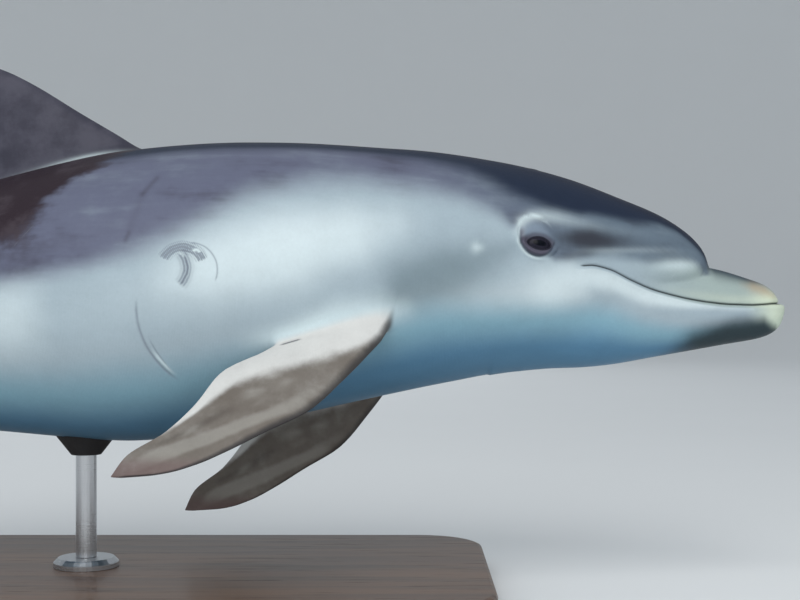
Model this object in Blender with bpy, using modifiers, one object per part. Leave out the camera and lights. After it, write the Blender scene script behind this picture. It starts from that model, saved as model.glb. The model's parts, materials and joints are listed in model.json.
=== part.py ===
"""A young bottlenose dolphin, life size, swimming with a slight bank on a plain display stand.

Metres, +Z up, the head towards +X and the dolphin's right side towards -Y. The origin is the centre
of the underside of the stand's base. The body is drawn in its own frame: "back" is the distance
behind the tip of the upper jaw, and heights are measured from that tip.
"""
import math

import bmesh
import bpy
import numpy as np
from mathutils import Vector

# the pose and the place of the body over the stand
BANK = math.radians(-10.0)      # right side up, about the body's long axis
TIP_HEIGHT = 0.250              # the tip of the upper jaw above the floor
TIP_AHEAD = 0.600               # the same tip ahead of the middle of the base
GAP = 0.0003                    # clear space left between neighbouring solids

# the body's lines, as (back, height) or (back, half width)
BACK_LINE = [(0.0598, 0.0308), (0.0659, 0.0464), (0.0737, 0.0568), (0.085, 0.0663), (0.1023, 0.0772),
             (0.137, 0.0925), (0.189, 0.1120), (0.241, 0.1243), (0.328, 0.1353), (0.458, 0.1405),
             (0.562, 0.1331), (0.675, 0.1071), (0.85, 0.055), (1.05, 0.006), (1.20, -0.0215),
             (1.25, -0.0365), (1.285, -0.0452)]
BELLY_LINE = [(0.0, 0.0), (0.0017, -0.0117), (0.006, -0.0215), (0.0156, -0.0285), (0.0503, -0.036),
              (0.105, -0.0455), (0.171, -0.0545), (0.224, -0.0577), (0.289, -0.0685), (0.362, -0.0837),
              (0.457, -0.104), (0.562, -0.1183), (0.675, -0.1097), (0.85, -0.090), (1.05, -0.076),
              (1.20, -0.064), (1.25, -0.0545), (1.285, -0.0462)]
HALF_WIDTH = [(0.0598, 0.010), (0.0659, 0.023), (0.0737, 0.0295), (0.085, 0.036), (0.10, 0.0415),
              (0.15, 0.0555), (0.212, 0.071), (0.335, 0.096), (0.42, 0.110), (0.50, 0.117),
              (0.58, 0.114), (0.675, 0.098), (0.85, 0.057), (1.05, 0.027), (1.20, 0.0165),
              (1.25, 0.0100), (1.285, 0.0010)]
MELON_FLOOR = [(0.0598, 0.020), (0.0737, 0.004), (0.10, -0.008), (0.15, -0.035), (0.20, -0.0535),
               (0.224, -0.0577)]
BEAK_TOP = [(0.0, 0.0), (0.0017, 0.0056), (0.0104, 0.0147), (0.0286, 0.0221), (0.0598, 0.0308),
            (0.12, 0.037), (0.25, 0.040)]
BEAK_HALF_WIDTH = [(0.0, 0.0), (0.003, 0.0095), (0.01, 0.016), (0.03, 0.021), (0.06, 0.027),
                   (0.10, 0.036), (0.15, 0.048), (0.25, 0.058)]
MOUTH_LINE = [(0.0, 0.0), (0.010, -0.0038), (0.030, -0.0058), (0.056, -0.0052), (0.0915, -0.0015),
              (0.1267, 0.0072), (0.155, 0.0183), (0.176, 0.0228)]
AXIS = MOUTH_LINE + [(0.26, 0.0265), (0.36, 0.024), (0.50, 0.012), (0.70, -0.003), (0.85, -0.0175),
                     (1.05, -0.035), (1.285, -0.045)]     # the body's axis runs on from the mouth line
KEEL = [(0.0, -0.02), (0.30, 0.0), (0.70, 0.0), (0.95, 0.05), (1.285, 0.08)]  # flattens the quarters
BODY_END = 1.285
MELON_START = 0.0598
CHIN_LEAD = 0.0060              # the lower jaw's tip is this far ahead of the section it belongs to
CHIN_LEAD_ENDS = 0.080
BLEND = 0.004                   # softness of the crease between melon and beak
SIDES = 32

# where the body is parted
THROAT_BACK, THROAT_LOW = 0.165, -0.120
CREASE_LINE = [(0.0598, 0.0306), (0.12, 0.0300), (0.160, 0.0245)]
NECK = 0.300
TAIL_ROOT = 0.850

# eyes
EYE_BACK, EYE_HEIGHT = 0.215, 0.0375
EYE_RADIUS = 0.013
EYE_SET_IN = 0.0115             # the eyeball's centre below the skin

# fins: outlines run from the root to the tip
FIN_ROOT, FIN_TIP = 0.070, 0.2235
FIN_LEADING = [(FIN_ROOT, 0.470), (0.110, 0.520), (0.1395, 0.5593), (0.1734, 0.6146), (0.2010, 0.660),
               (0.2124, 0.6845), (0.2200, 0.713), (FIN_TIP, 0.752)]
FIN_TRAILING = [(FIN_ROOT, 0.785), (0.090, 0.762), (0.110, 0.750), (0.155, 0.7405), (0.190, 0.7415),
                (0.210, 0.750), (FIN_TIP, 0.766)]
FIN_THICKNESS = 0.022
FLIPPER_INSIDE, FLIPPER_TIP = -0.040, 0.1528
FLIPPER_LEADING = [(FLIPPER_INSIDE, 0.018), (-0.014, 0.005), (-0.002, 0.0014), (0.010, 0.0068), (0.0357, 0.0228),
                   (0.0625, 0.0417), (0.0895, 0.0638), (0.1116, 0.0974), (0.1302, 0.1252), (0.1436, 0.1498),
                   (0.1510, 0.1745), (FLIPPER_TIP, 0.1950)]
FLIPPER_TRAILING = [(FLIPPER_INSIDE, 0.060), (0.0, 0.066), (0.0258, 0.0985), (0.0508, 0.1344),
                    (0.0844, 0.1521), (0.1116, 0.1719), (0.1350, 0.1988), (FLIPPER_TIP, 0.2070)]
FLIPPER_ROOT_BACK = {"right": 0.333, "left": 0.317}     # the front corner of each root
FLIPPER_ROOT_OUT, FLIPPER_ROOT_HEIGHT = 0.0806, -0.0325
FLIPPER_DROOP = {"right": math.radians(54.0), "left": math.radians(72.0)}   # below the horizontal
FLIPPER_FORWARD = {"right": 0.0, "left": math.radians(-1.5)}                # swung forward at the root
FLIPPER_CURL = 0.15             # the blade curves in towards its tip
FLIPPER_THICKNESS = 0.020
FLUKE_TIP = 0.152
FLUKE_LEADING = [(0.0, 1.174), (0.014, 1.186), (0.030, 1.1975), (0.060, 1.2135), (0.090, 1.231),
                 (0.115, 1.250), (0.135, 1.2705), (0.147, 1.2875), (FLUKE_TIP, 1.2985)]
FLUKE_TRAILING = [(0.0, 1.2865), (0.005, 1.294), (0.018, 1.300), (0.040, 1.3005), (0.070, 1.295),
                  (0.100, 1.291), (0.125, 1.2925), (0.142, 1.2985), (FLUKE_TIP, 1.305)]
FLUKE_THICKNESS = 0.022
FLUKE_HEIGHT = -0.0445
FLUKE_TIP_DROP = 0.008
FLUKE_SLOPE = 0.05              # the flukes fall away behind by this much of their length
EDGE_THICKNESS = 0.0012         # a fin's edge and tip are never thinner

# the stand
BASE_SIZE = (0.700, 0.340, 0.022)
BASE_CORNER = 0.060
BASE_EDGE = 0.004
ROD_RADIUS = 0.009
ROD_BACKS = {"front": 0.600, "rear": 0.880}
FOOT_RADIUS, FOOT_HEIGHT = 0.028, 0.008
SADDLE_RADIUS, SADDLE_HEIGHT = 0.027, 0.024
SADDLE_BITE = 0.010             # how far the saddle's rim reaches up round the belly


def smooth_line(points):
    """A monotone cubic through the points; it runs over the square root of x, which rounds the tip."""
    x = np.array([math.copysign(math.sqrt(abs(p[0])), p[0]) for p in points])
    y = np.array([p[1] for p in points])
    step = np.diff(x)
    slope = np.diff(y) / step
    tangent = np.zeros(len(x))
    tangent[0], tangent[-1] = slope[0], slope[-1]
    for i in range(1, len(x) - 1):
        if slope[i - 1] * slope[i] > 0:
            before, after = 2 * step[i] + step[i - 1], step[i] + 2 * step[i - 1]
            tangent[i] = (before + after) / (before / slope[i - 1] + after / slope[i])

    def value(at):
        at = np.asarray(at, float)
        u = np.clip(np.copysign(np.sqrt(np.abs(at)), at), x[0], x[-1])
        i = np.clip(np.searchsorted(x, u, "right") - 1, 0, len(x) - 2)
        h = step[i]
        t = (u - x[i]) / h
        return ((1 + 2 * t) * (1 - t) ** 2 * y[i] + t * (1 - t) ** 2 * h * tangent[i]
                + t * t * (3 - 2 * t) * y[i + 1] + t * t * (t - 1) * h * tangent[i + 1])
    return value


back_line, belly_line = smooth_line(BACK_LINE), smooth_line(BELLY_LINE)
half_width, melon_floor = smooth_line(HALF_WIDTH), smooth_line(MELON_FLOOR)
beak_top, beak_half_width = smooth_line(BEAK_TOP), smooth_line(BEAK_HALF_WIDTH)
axis_line, keel_line = smooth_line(AXIS), smooth_line(KEEL)


def offset_ellipse(angle, half, top, bottom, centre):
    """How far a ray from the height centre reaches to an ellipse between bottom and top."""
    high, middle = (top - bottom) / 2, (top + bottom) / 2 - centre
    c, s = np.cos(angle), np.sin(angle)
    a = c * c / half ** 2 + s * s / high ** 2
    b = -2 * middle * s / high ** 2
    rest = b * b - 4 * a * (middle ** 2 / high ** 2 - 1)
    return np.where(rest > 0, (-b + np.sqrt(np.maximum(rest, 0))) / (2 * a), 0.0)


def section_reach(back, angle):
    """The section's radius at an angle up from the horizontal, about the body's axis."""
    centre = axis_line(back)
    up = np.maximum(beak_top(back) - centre, 1e-4)
    down = np.maximum(centre - belly_line(back), 1e-4)
    side = np.maximum(beak_half_width(back), 1e-4)
    tall = np.where(np.sin(angle) > 0, up, down)
    beak = (np.abs(np.cos(angle) / side) ** 2.2 + np.abs(np.sin(angle) / tall) ** 2.2) ** (-1 / 2.2)
    if back <= MELON_START:
        return beak
    floor = melon_floor(back) if back < MELON_FLOOR[-1][0] else belly_line(back)
    main = offset_ellipse(angle, half_width(back), back_line(back), floor, centre)
    if back > BEAK_TOP[-1][0]:
        joined = main
    else:
        near = np.maximum(BLEND - np.abs(main - beak), 0) / BLEND
        joined = np.maximum(main, beak) + near * near * BLEND / 4
    return joined * (1 - keel_line(back) * np.sin(2 * angle) ** 2)


def body_point(back, angle, grow=0.0):
    reach = float(section_reach(back, angle)) + grow
    height = float(axis_line(back)) + reach * math.sin(angle)
    lead = 0.0
    if back < CHIN_LEAD_ENDS:
        lead = CHIN_LEAD * (1 - back / CHIN_LEAD_ENDS) ** 2 * min(1.0, max(0.0, -2 * math.sin(angle)))
    return Vector((lead - back, reach * math.cos(angle), height))


def body_stations():
    """Ring positions from the tip to the tail, close together where the form turns quickly."""
    tip = [0.0012, 0.0045, 0.010, 0.018, 0.030, 0.044, 0.056]
    melon = [0.061, 0.0665, 0.073, 0.081, 0.092, 0.106, 0.124, 0.145, 0.17]
    trunk = list(np.linspace(0.195, 0.87, 20))
    tail = list(np.linspace(0.92, 1.20, 7)) + [1.23, 1.26, 1.28]
    return tip + melon + trunk + tail


def ring_mesh(rings, start, end):
    """A closed mesh through rings of points, with a pole or a flat cap at each end."""
    bm = bmesh.new()
    rows = [[bm.verts.new(p) for p in ring] for ring in rings]
    count = len(rows[0])
    for a, b in zip(rows, rows[1:]):
        for i in range(count):
            j = (i + 1) % count
            bm.faces.new((a[i], a[j], b[j], b[i]))
    for row, pole in ((rows[0], start), (rows[-1], end)):
        if pole is None:
            bm.faces.new(row)
            continue
        tip = bm.verts.new(pole)
        for i in range(count):
            bm.faces.new((row[i], row[(i + 1) % count], tip))
    bmesh.ops.recalc_face_normals(bm, faces=bm.faces)
    if bm.calc_volume(signed=True) < 0:
        bmesh.ops.reverse_faces(bm, faces=bm.faces)
    return bm


def body_mesh(grow=0.0):
    rings = []
    for back in body_stations():
        ring = []
        for i in range(SIDES):
            turn = 2 * math.pi * i / SIDES
            ring.append(body_point(back, turn, grow))
        rings.append(ring)
    tail_height = float(axis_line(BODY_END))
    return ring_mesh(rings, (grow, 0.0, 0.0), (-BODY_END - grow, 0.0, tail_height))


def foil_half_thickness(x):
    """Half the thickness of a fin's section, as a share of its full thickness, x from edge to edge."""
    return 5 * (0.2969 * math.sqrt(x) - 0.126 * x - 0.3516 * x ** 2 + 0.2843 * x ** 3 - 0.1036 * x ** 4)


def fin_mesh(leading, trailing, spans, thickness, place, points=9):
    """A fin lofted through foil sections; place(span, back, side) gives a point in the body frame."""
    front, rear = smooth_line(leading), smooth_line(trailing)
    root, tip = spans[0], spans[-1]
    rings = []
    for span in spans:
        start, end = float(front(span)), float(rear(span))
        share = (span - root) / (tip - root)
        full = thickness * (1 - share) ** 0.8 + 2 * EDGE_THICKNESS
        upper, lower = [], []
        for i in range(points):
            x = (1 - math.cos(math.pi * i / (points - 1))) / 2
            half = full * foil_half_thickness(x) + EDGE_THICKNESS / 2 * math.sqrt(x)
            along = start + (end - start) * x
            upper.append(place(span, along, half))
            if 0 < i:
                lower.append(place(span, along, -half))
        rings.append(upper + lower[::-1])
    return ring_mesh(rings, None, None)


def spans_to_tip(root, tip, count):
    """Places for a fin's sections, closer together towards the tip."""
    return [root + (tip - root) * math.sin(math.pi / 2 * i / (count - 1)) for i in range(count)]


def dorsal_place(height, back, side):
    return Vector((-back, side, height))


def flipper_place(span, back, side, which, hand):
    """The blade hangs out and down from its root; hand is -1 on the right and 1 on the left."""
    droop, forward = FLIPPER_DROOP[which], FLIPPER_FORWARD[which]
    along = math.cos(forward) * back - math.sin(forward) * span
    reach = math.cos(forward) * span + math.sin(forward) * back
    face = side - FLIPPER_CURL * max(span, 0.0) ** 2
    out = FLIPPER_ROOT_OUT + math.cos(droop) * reach + math.sin(droop) * face
    down = math.sin(droop) * reach - math.cos(droop) * face
    return Vector((-FLIPPER_ROOT_BACK[which] - along, hand * out, FLIPPER_ROOT_HEIGHT - down))


def fluke_place(out, back, side, hand):
    drop = FLUKE_TIP_DROP * (out / FLUKE_TIP) ** 2
    slope = FLUKE_SLOPE * (back - 1.2)
    return Vector((-back, hand * out, FLUKE_HEIGHT - drop - slope + side))


def material(name, colour, roughness, metallic=0.0):
    made = bpy.data.materials.new(name)
    made.use_nodes = True
    shader = made.node_tree.nodes["Principled BSDF"]
    shader.inputs["Base Color"].default_value = (*colour, 1.0)
    shader.inputs["Roughness"].default_value = roughness
    shader.inputs["Metallic"].default_value = metallic
    made.diffuse_color = (*colour, 1.0)
    return made


def add_object(name, bm, collection, parent=None, finish=None, smooth=40.0):
    mesh = bpy.data.meshes.new(name)
    bm.to_mesh(mesh)
    bm.free()
    made = bpy.data.objects.new(name, mesh)
    collection.objects.link(made)
    made.parent = parent
    if finish:
        mesh.materials.append(finish)
        mesh.shade_smooth()
        mesh.set_sharp_from_angle(angle=math.radians(smooth))
    else:
        made.hide_render = True
        made.display_type = "WIRE"
    return made


def boolean(target, cutter, operation):
    modifier = target.modifiers.new(f"{operation.lower()} {cutter.name}", "BOOLEAN")
    modifier.operation = operation
    modifier.object = cutter
    modifier.solver = "EXACT"


def prism_mesh(outline, reach=0.30):
    """An outline in (back, height), drawn across the whole width of the body."""
    bm = bmesh.new()
    face = bm.faces.new([bm.verts.new((-back, -reach, height)) for back, height in outline])
    swept = bmesh.ops.extrude_face_region(bm, geom=[face])["geom"]
    moved = [v for v in swept if isinstance(v, bmesh.types.BMVert)]
    bmesh.ops.translate(bm, verts=moved, vec=(0, 2 * reach, 0))
    bmesh.ops.recalc_face_normals(bm, faces=bm.faces)
    return bm


def region_outlines():
    """The outlines, seen from the side, that part the body into its flesh pieces."""
    half = GAP / 2
    mouth = [(b, float(axis_line(b))) for b in np.linspace(0.0, MOUTH_LINE[-1][0], 13)]
    gape_back, gape_height = mouth[-1]
    ahead, over, under = -0.05, 0.30, -0.30
    lower_jaw = ([(ahead, under), (ahead, -half)] + [(b, h - half) for b, h in mouth[:-1]]
                 + [(gape_back - GAP, gape_height - half), (THROAT_BACK - half, THROAT_LOW),
                    (THROAT_BACK - half, under)])
    upper_jaw = ([(ahead, over), (ahead, half)] + [(b, h + half) for b, h in mouth[:-1]]
                 + [(b - half, h - half) for b, h in CREASE_LINE[::-1]] + [(CREASE_LINE[0][0] - half, over)])
    head = ([(CREASE_LINE[0][0] + half, over)] + [(b + half, h + half) for b, h in CREASE_LINE]
            + [(gape_back + half, gape_height), (THROAT_BACK + half, THROAT_LOW),
               (THROAT_BACK + half, under), (NECK - half, under), (NECK - half, over)])
    trunk = [(NECK + half, under), (NECK + half, over), (TAIL_ROOT - half, over), (TAIL_ROOT - half, under)]
    tail = [(TAIL_ROOT + half, under), (TAIL_ROOT + half, over), (1.5, over), (1.5, under)]
    return {"lower_jaw": lower_jaw, "upper_jaw": upper_jaw, "head": head, "trunk": trunk, "tail_stock": tail}


def eye_centre(hand):
    rise = EYE_HEIGHT - float(axis_line(EYE_BACK))
    reach = float(section_reach(EYE_BACK, 0.0))
    for _ in range(4):
        reach = float(section_reach(EYE_BACK, math.asin(rise / reach)))
    out = math.sqrt(reach ** 2 - rise ** 2)
    return Vector((-EYE_BACK, hand * (out - EYE_SET_IN), EYE_HEIGHT))


def eye_mesh(centre, radius):
    bm = bmesh.new()
    bmesh.ops.create_uvsphere(bm, u_segments=20, v_segments=12, radius=radius)
    bmesh.ops.translate(bm, verts=bm.verts, vec=centre)
    return bm


def build_flesh(parts, cutters, body_frame):
    back_skin = material("back_skin", (0.16, 0.17, 0.19), 0.38)
    flank_skin = material("flank_skin", (0.42, 0.45, 0.49), 0.38)
    fin_skin = material("fin_skin", (0.22, 0.21, 0.22), 0.40)
    eye_gloss = material("eye", (0.02, 0.02, 0.025), 0.08)
    finishes = {"lower_jaw": flank_skin, "upper_jaw": back_skin, "head": back_skin,
                "trunk": flank_skin, "tail_stock": back_skin}

    sockets = []
    for which, hand in (("right", -1), ("left", 1)):
        centre = eye_centre(hand)
        add_object(f"eye_{which}", eye_mesh(centre, EYE_RADIUS), parts, body_frame, eye_gloss)
        sockets.append(add_object(f"socket_{which}", eye_mesh(centre, EYE_RADIUS + GAP), cutters, body_frame))

    for name, outline in region_outlines().items():
        piece = add_object(name, body_mesh(), parts, body_frame, finishes[name])
        region = add_object(f"region_{name}", prism_mesh(outline), cutters, body_frame)
        boolean(piece, region, "INTERSECT")
        if name == "head":
            for socket in sockets:
                boolean(piece, socket, "DIFFERENCE")

    grown = add_object("body_clearance", body_mesh(GAP), cutters, body_frame)
    fins = {"dorsal_fin": fin_mesh(FIN_LEADING, FIN_TRAILING, spans_to_tip(FIN_ROOT, FIN_TIP, 12),
                                   FIN_THICKNESS, dorsal_place)}
    for which, hand in (("right", -1), ("left", 1)):
        fins[f"flipper_{which}"] = fin_mesh(
            FLIPPER_LEADING, FLIPPER_TRAILING, spans_to_tip(FLIPPER_INSIDE, FLIPPER_TIP, 15),
            FLIPPER_THICKNESS, lambda span, back, face: flipper_place(span, back, face, which, hand))
        fins[f"fluke_{which}"] = fin_mesh(
            FLUKE_LEADING, FLUKE_TRAILING, spans_to_tip(GAP / 2, FLUKE_TIP, 10),
            FLUKE_THICKNESS, lambda out, back, face: fluke_place(out, back, face, hand))
    for name, bm in fins.items():
        boolean(add_object(name, bm, parts, body_frame, fin_skin), grown, "DIFFERENCE")
    return grown


def rounded_plate(size, corner):
    length, width, height = size
    bm = bmesh.new()
    outline = []
    for quarter in range(4):
        sx, sy = ((1, 1), (-1, 1), (-1, -1), (1, -1))[quarter]
        middle = Vector((sx * (length / 2 - corner), sy * (width / 2 - corner), 0))
        for i in range(9):
            turn = math.pi / 2 * (quarter + i / 8)
            outline.append(middle + corner * Vector((math.cos(turn), math.sin(turn), 0)))
    face = bm.faces.new([bm.verts.new(p) for p in outline])
    swept = bmesh.ops.extrude_face_region(bm, geom=[face])["geom"]
    moved = [v for v in swept if isinstance(v, bmesh.types.BMVert)]
    bmesh.ops.translate(bm, verts=moved, vec=(0, 0, height))
    bmesh.ops.recalc_face_normals(bm, faces=bm.faces)
    return bm


def turned(name, profile, place, collection, finish):
    """A turned piece: the profile is (radius, height) from the top of its outer side to the bottom."""
    bm = bmesh.new()
    verts = [bm.verts.new((radius, 0, height)) for radius, height in profile]
    for a, b in zip(verts, verts[1:]):
        bm.edges.new((a, b))
    made = add_object(name, bm, collection, None, finish)
    made.location = place
    screw = made.modifiers.new("turn", "SCREW")
    screw.steps = screw.render_steps = 32
    screw.use_merge_vertices = True
    screw.merge_threshold = 0.0001
    return made


def build_stand(parts, grown):
    wood = material("stand_wood", (0.09, 0.055, 0.035), 0.35)
    steel = material("stand_steel", (0.55, 0.56, 0.58), 0.28, 1.0)
    rubber = material("stand_rubber", (0.03, 0.03, 0.032), 0.6)

    base = add_object("stand_base", rounded_plate(BASE_SIZE, BASE_CORNER), parts, None, wood)
    edge = base.modifiers.new("eased edges", "BEVEL")
    edge.width = BASE_EDGE
    edge.segments = 2
    edge.limit_method = "ANGLE"
    edge.angle_limit = math.radians(60)

    foot_floor = BASE_SIZE[2] + GAP
    foot_top = foot_floor + FOOT_HEIGHT
    for which, back in ROD_BACKS.items():
        at = TIP_AHEAD - back
        belly = TIP_HEIGHT + float(belly_line(back))
        saddle_floor = belly - SADDLE_HEIGHT + SADDLE_BITE
        turned(f"stand_foot_{which}",
               [(0, foot_top), (FOOT_RADIUS - 0.004, foot_top), (FOOT_RADIUS, foot_top - 0.004),
                (FOOT_RADIUS, foot_floor), (0, foot_floor)], (at, 0, 0), parts, steel)
        rod_floor, rod_top = foot_top + GAP, saddle_floor - GAP
        bpy.ops.mesh.primitive_cylinder_add(vertices=24, radius=ROD_RADIUS, depth=rod_top - rod_floor,
                                            location=(at, 0, (rod_top + rod_floor) / 2))
        rod = bpy.context.object
        rod.name = f"stand_rod_{which}"
        rod.data.materials.append(steel)
        rod.data.shade_smooth()
        rod.data.set_sharp_from_angle(angle=math.radians(40))
        for collection in rod.users_collection:
            collection.objects.unlink(rod)
        parts.objects.link(rod)
        saddle = turned(f"stand_saddle_{which}",
                        [(0, saddle_floor + SADDLE_HEIGHT), (SADDLE_RADIUS, saddle_floor + SADDLE_HEIGHT),
                         (SADDLE_RADIUS, saddle_floor + SADDLE_HEIGHT - 0.006),
                         (ROD_RADIUS + 0.004, saddle_floor), (0, saddle_floor)], (at, 0, 0), parts, rubber)
        boolean(saddle, grown, "DIFFERENCE")


def main():
    for old in list(bpy.data.objects):
        bpy.data.objects.remove(old, do_unlink=True)
    parts = bpy.data.collections.new("bottlenose_dolphin")
    cutters = bpy.data.collections.new("cutters")
    for collection in (parts, cutters):
        bpy.context.scene.collection.children.link(collection)
    body_frame = bpy.data.objects.new("body_frame", None)
    body_frame.location = (TIP_AHEAD, 0, TIP_HEIGHT)
    body_frame.rotation_euler = (BANK, 0, 0)
    parts.objects.link(body_frame)
    grown = build_flesh(parts, cutters, body_frame)
    build_stand(parts, grown)


main()
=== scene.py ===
import json
import math

import bmesh
import bpy
import numpy as np
from mathutils import Matrix, Vector


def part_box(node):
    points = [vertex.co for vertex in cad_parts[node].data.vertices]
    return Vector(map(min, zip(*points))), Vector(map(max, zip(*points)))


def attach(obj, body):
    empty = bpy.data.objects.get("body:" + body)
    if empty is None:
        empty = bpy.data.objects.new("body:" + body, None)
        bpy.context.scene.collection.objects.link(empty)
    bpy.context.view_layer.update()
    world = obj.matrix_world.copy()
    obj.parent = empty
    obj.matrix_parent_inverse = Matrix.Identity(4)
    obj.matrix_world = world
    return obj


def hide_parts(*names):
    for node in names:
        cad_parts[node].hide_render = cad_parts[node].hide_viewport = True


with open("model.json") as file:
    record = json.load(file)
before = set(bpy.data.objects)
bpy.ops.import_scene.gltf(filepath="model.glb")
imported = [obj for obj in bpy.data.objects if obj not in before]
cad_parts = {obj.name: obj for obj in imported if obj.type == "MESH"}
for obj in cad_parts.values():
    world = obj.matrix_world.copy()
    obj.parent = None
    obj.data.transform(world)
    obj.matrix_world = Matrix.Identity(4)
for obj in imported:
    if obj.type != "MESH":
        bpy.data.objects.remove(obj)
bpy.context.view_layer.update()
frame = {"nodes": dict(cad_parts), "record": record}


def addObject(name, data):
    made = bpy.data.objects.new(name, data)
    bpy.context.scene.collection.objects.link(made)
    return made


def addVectors(mesh, name, rows):
    made = mesh.attributes.new(name, "FLOAT_VECTOR", "POINT")
    made.data.foreach_set("vector", np.array(rows, np.float32).reshape(-1))


def turnOutwards(mesh, soften=(), rounds=5):
    # evens out the chosen points, then turns every face outwards
    bm = bmesh.new()
    bm.from_mesh(mesh)
    bm.verts.ensure_lookup_table()
    chosen = [bm.verts[k] for k in soften]
    for _ in range(rounds if chosen else 0):
        bmesh.ops.smooth_vert(bm, verts=chosen, factor=0.4, use_axis_x=True, use_axis_y=True, use_axis_z=True)
    bmesh.ops.recalc_face_normals(bm, faces=bm.faces)
    bm.to_mesh(mesh)
    bm.free()
    mesh.shade_smooth()


def smoothLine(points):
    # a monotone cubic over the square root of x, which rounds the tip
    x = np.array([math.copysign(math.sqrt(abs(p[0])), p[0]) for p in points])
    y = np.array([p[1] for p in points])
    step = np.diff(x)
    slope = np.diff(y) / step
    tangent = np.zeros(len(x))
    tangent[0], tangent[-1] = slope[0], slope[-1]
    for i in range(1, len(x) - 1):
        if slope[i - 1] * slope[i] > 0:
            before, after = 2 * step[i] + step[i - 1], step[i] + 2 * step[i - 1]
            tangent[i] = (before + after) / (before / slope[i - 1] + after / slope[i])

    def value(at):
        at = np.asarray(at, float)
        u = np.clip(np.copysign(np.sqrt(np.abs(at)), at), x[0], x[-1])
        i = np.clip(np.searchsorted(x, u, "right") - 1, 0, len(x) - 2)
        h = step[i]
        t = (u - x[i]) / h
        return ((1 + 2 * t) * (1 - t) ** 2 * y[i] + t * (1 - t) ** 2 * h * tangent[i]
                + t * t * (3 - 2 * t) * y[i + 1] + t * t * (t - 1) * h * tangent[i + 1])
    return value


def step(low, high, value):
    t = np.clip((np.asarray(value, float) - low) / (high - low), 0, 1)
    return t * t * (3 - 2 * t)


def bell(value, width):
    return np.exp(-(np.asarray(value, float) / width) ** 2)


def ridge(row, value):
    # a soft ridge from its height, its place and its half width
    height, place, width = row
    return height * bell(value - place, width)


def softMax(a, b, soft):
    near = np.maximum(soft - np.abs(a - b), 0) / soft
    return np.maximum(a, b) + near * near * soft / 4


# The body's lines: (distance behind the tip of the upper jaw, height above that tip or half width), in metres
bodyLines = {
    "back": [(0.0598, 0.0308), (0.0659, 0.0464), (0.0737, 0.0568), (0.085, 0.0663), (0.1023, 0.0772),
             (0.137, 0.0925), (0.189, 0.112), (0.241, 0.1243), (0.328, 0.1353), (0.458, 0.1405),
             (0.562, 0.1331), (0.675, 0.1071), (0.85, 0.055), (1.05, 0.006), (1.2, -0.0215),
             (1.25, -0.0365), (1.285, -0.0452)],
    "belly": [(0.0, 0.0), (0.0017, -0.0117), (0.006, -0.0215), (0.0156, -0.0285), (0.0503, -0.036),
              (0.105, -0.0455), (0.171, -0.0545), (0.224, -0.0577), (0.289, -0.0685), (0.362, -0.0837),
              (0.457, -0.104), (0.562, -0.1183), (0.675, -0.1097), (0.85, -0.09), (1.05, -0.076),
              (1.2, -0.064), (1.25, -0.0545), (1.285, -0.0462)],
    "side": [(0.0598, 0.01), (0.0659, 0.023), (0.0737, 0.0295), (0.085, 0.036), (0.1, 0.0415),
             (0.15, 0.0555), (0.212, 0.071), (0.335, 0.096), (0.42, 0.11), (0.5, 0.117),
             (0.58, 0.114), (0.675, 0.098), (0.85, 0.057), (1.05, 0.027), (1.2, 0.0165),
             (1.25, 0.01), (1.285, 0.001)],
    "melonFloor": [(0.0598, 0.02), (0.0737, 0.004), (0.1, -0.008), (0.15, -0.035), (0.2, -0.0535),
                   (0.224, -0.0577)],
    "beakTop": [(0.0, 0.0), (0.0017, 0.0056), (0.0104, 0.0147), (0.0286, 0.0221), (0.0598, 0.0308),
                (0.12, 0.037), (0.25, 0.04)],
    "beakSide": [(0.0, 0.0), (0.003, 0.0095), (0.01, 0.016), (0.03, 0.021), (0.06, 0.027),
                 (0.1, 0.036), (0.15, 0.048), (0.25, 0.058)],
    "mouth": [(0.0, 0.0), (0.0108, -0.0031), (0.0199, -0.0042), (0.029, -0.0048), (0.0469, -0.0049),
              (0.0647, -0.0038), (0.0823, -0.0017), (0.0998, 0.0016), (0.1175, 0.0058), (0.1353, 0.012),
              (0.1546, 0.0197), (0.1683, 0.0219), (0.176, 0.0213)],
    "behindMouth": [(0.26, 0.0265), (0.36, 0.024), (0.5, 0.012), (0.7, -0.003), (0.85, -0.0175),
                    (1.05, -0.035), (1.285, -0.045)],
    "keel": [(0.0, -0.02), (0.3, 0.0), (0.7, 0.0), (0.95, 0.05), (1.285, 0.08)],
}
body = {
    "melonStart": 0.0598, "beakEnd": 0.25, "creaseSoft": 0.004,
    "chinLead": 0.006, "chinLeadEnds": 0.08, "lipRound": 0.0018,
    "columns": 144, "squeeze": 0.55, "squeezeEnds": (0.3, 0.45),     # columns crowd towards the mouth line
    "runs": [(0.02, 0.07, 0.0014), (0.07, 0.25, 0.0019), (0.25, 0.33, 0.0025), (0.33, 0.42, 0.0028),
             (0.42, 0.8, 0.0043), (0.8, 1.1, 0.0062), (1.1, 1.15, 0.0042), (1.15, 1.2865, 0.0026)],
    "tipRings": 34,
    "gape": 0.176, "eyeBack": 0.215, "eyeHeight": 0.0375, "lookBack": 0.2129,
}
backLine, bellyLine = smoothLine(bodyLines["back"]), smoothLine(bodyLines["belly"])
sideLine, melonFloor = smoothLine(bodyLines["side"]), smoothLine(bodyLines["melonFloor"])
beakTop, beakSide = smoothLine(bodyLines["beakTop"]), smoothLine(bodyLines["beakSide"])
axisLine = smoothLine(bodyLines["mouth"] + bodyLines["behindMouth"])
keelLine = smoothLine(bodyLines["keel"])

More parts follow.
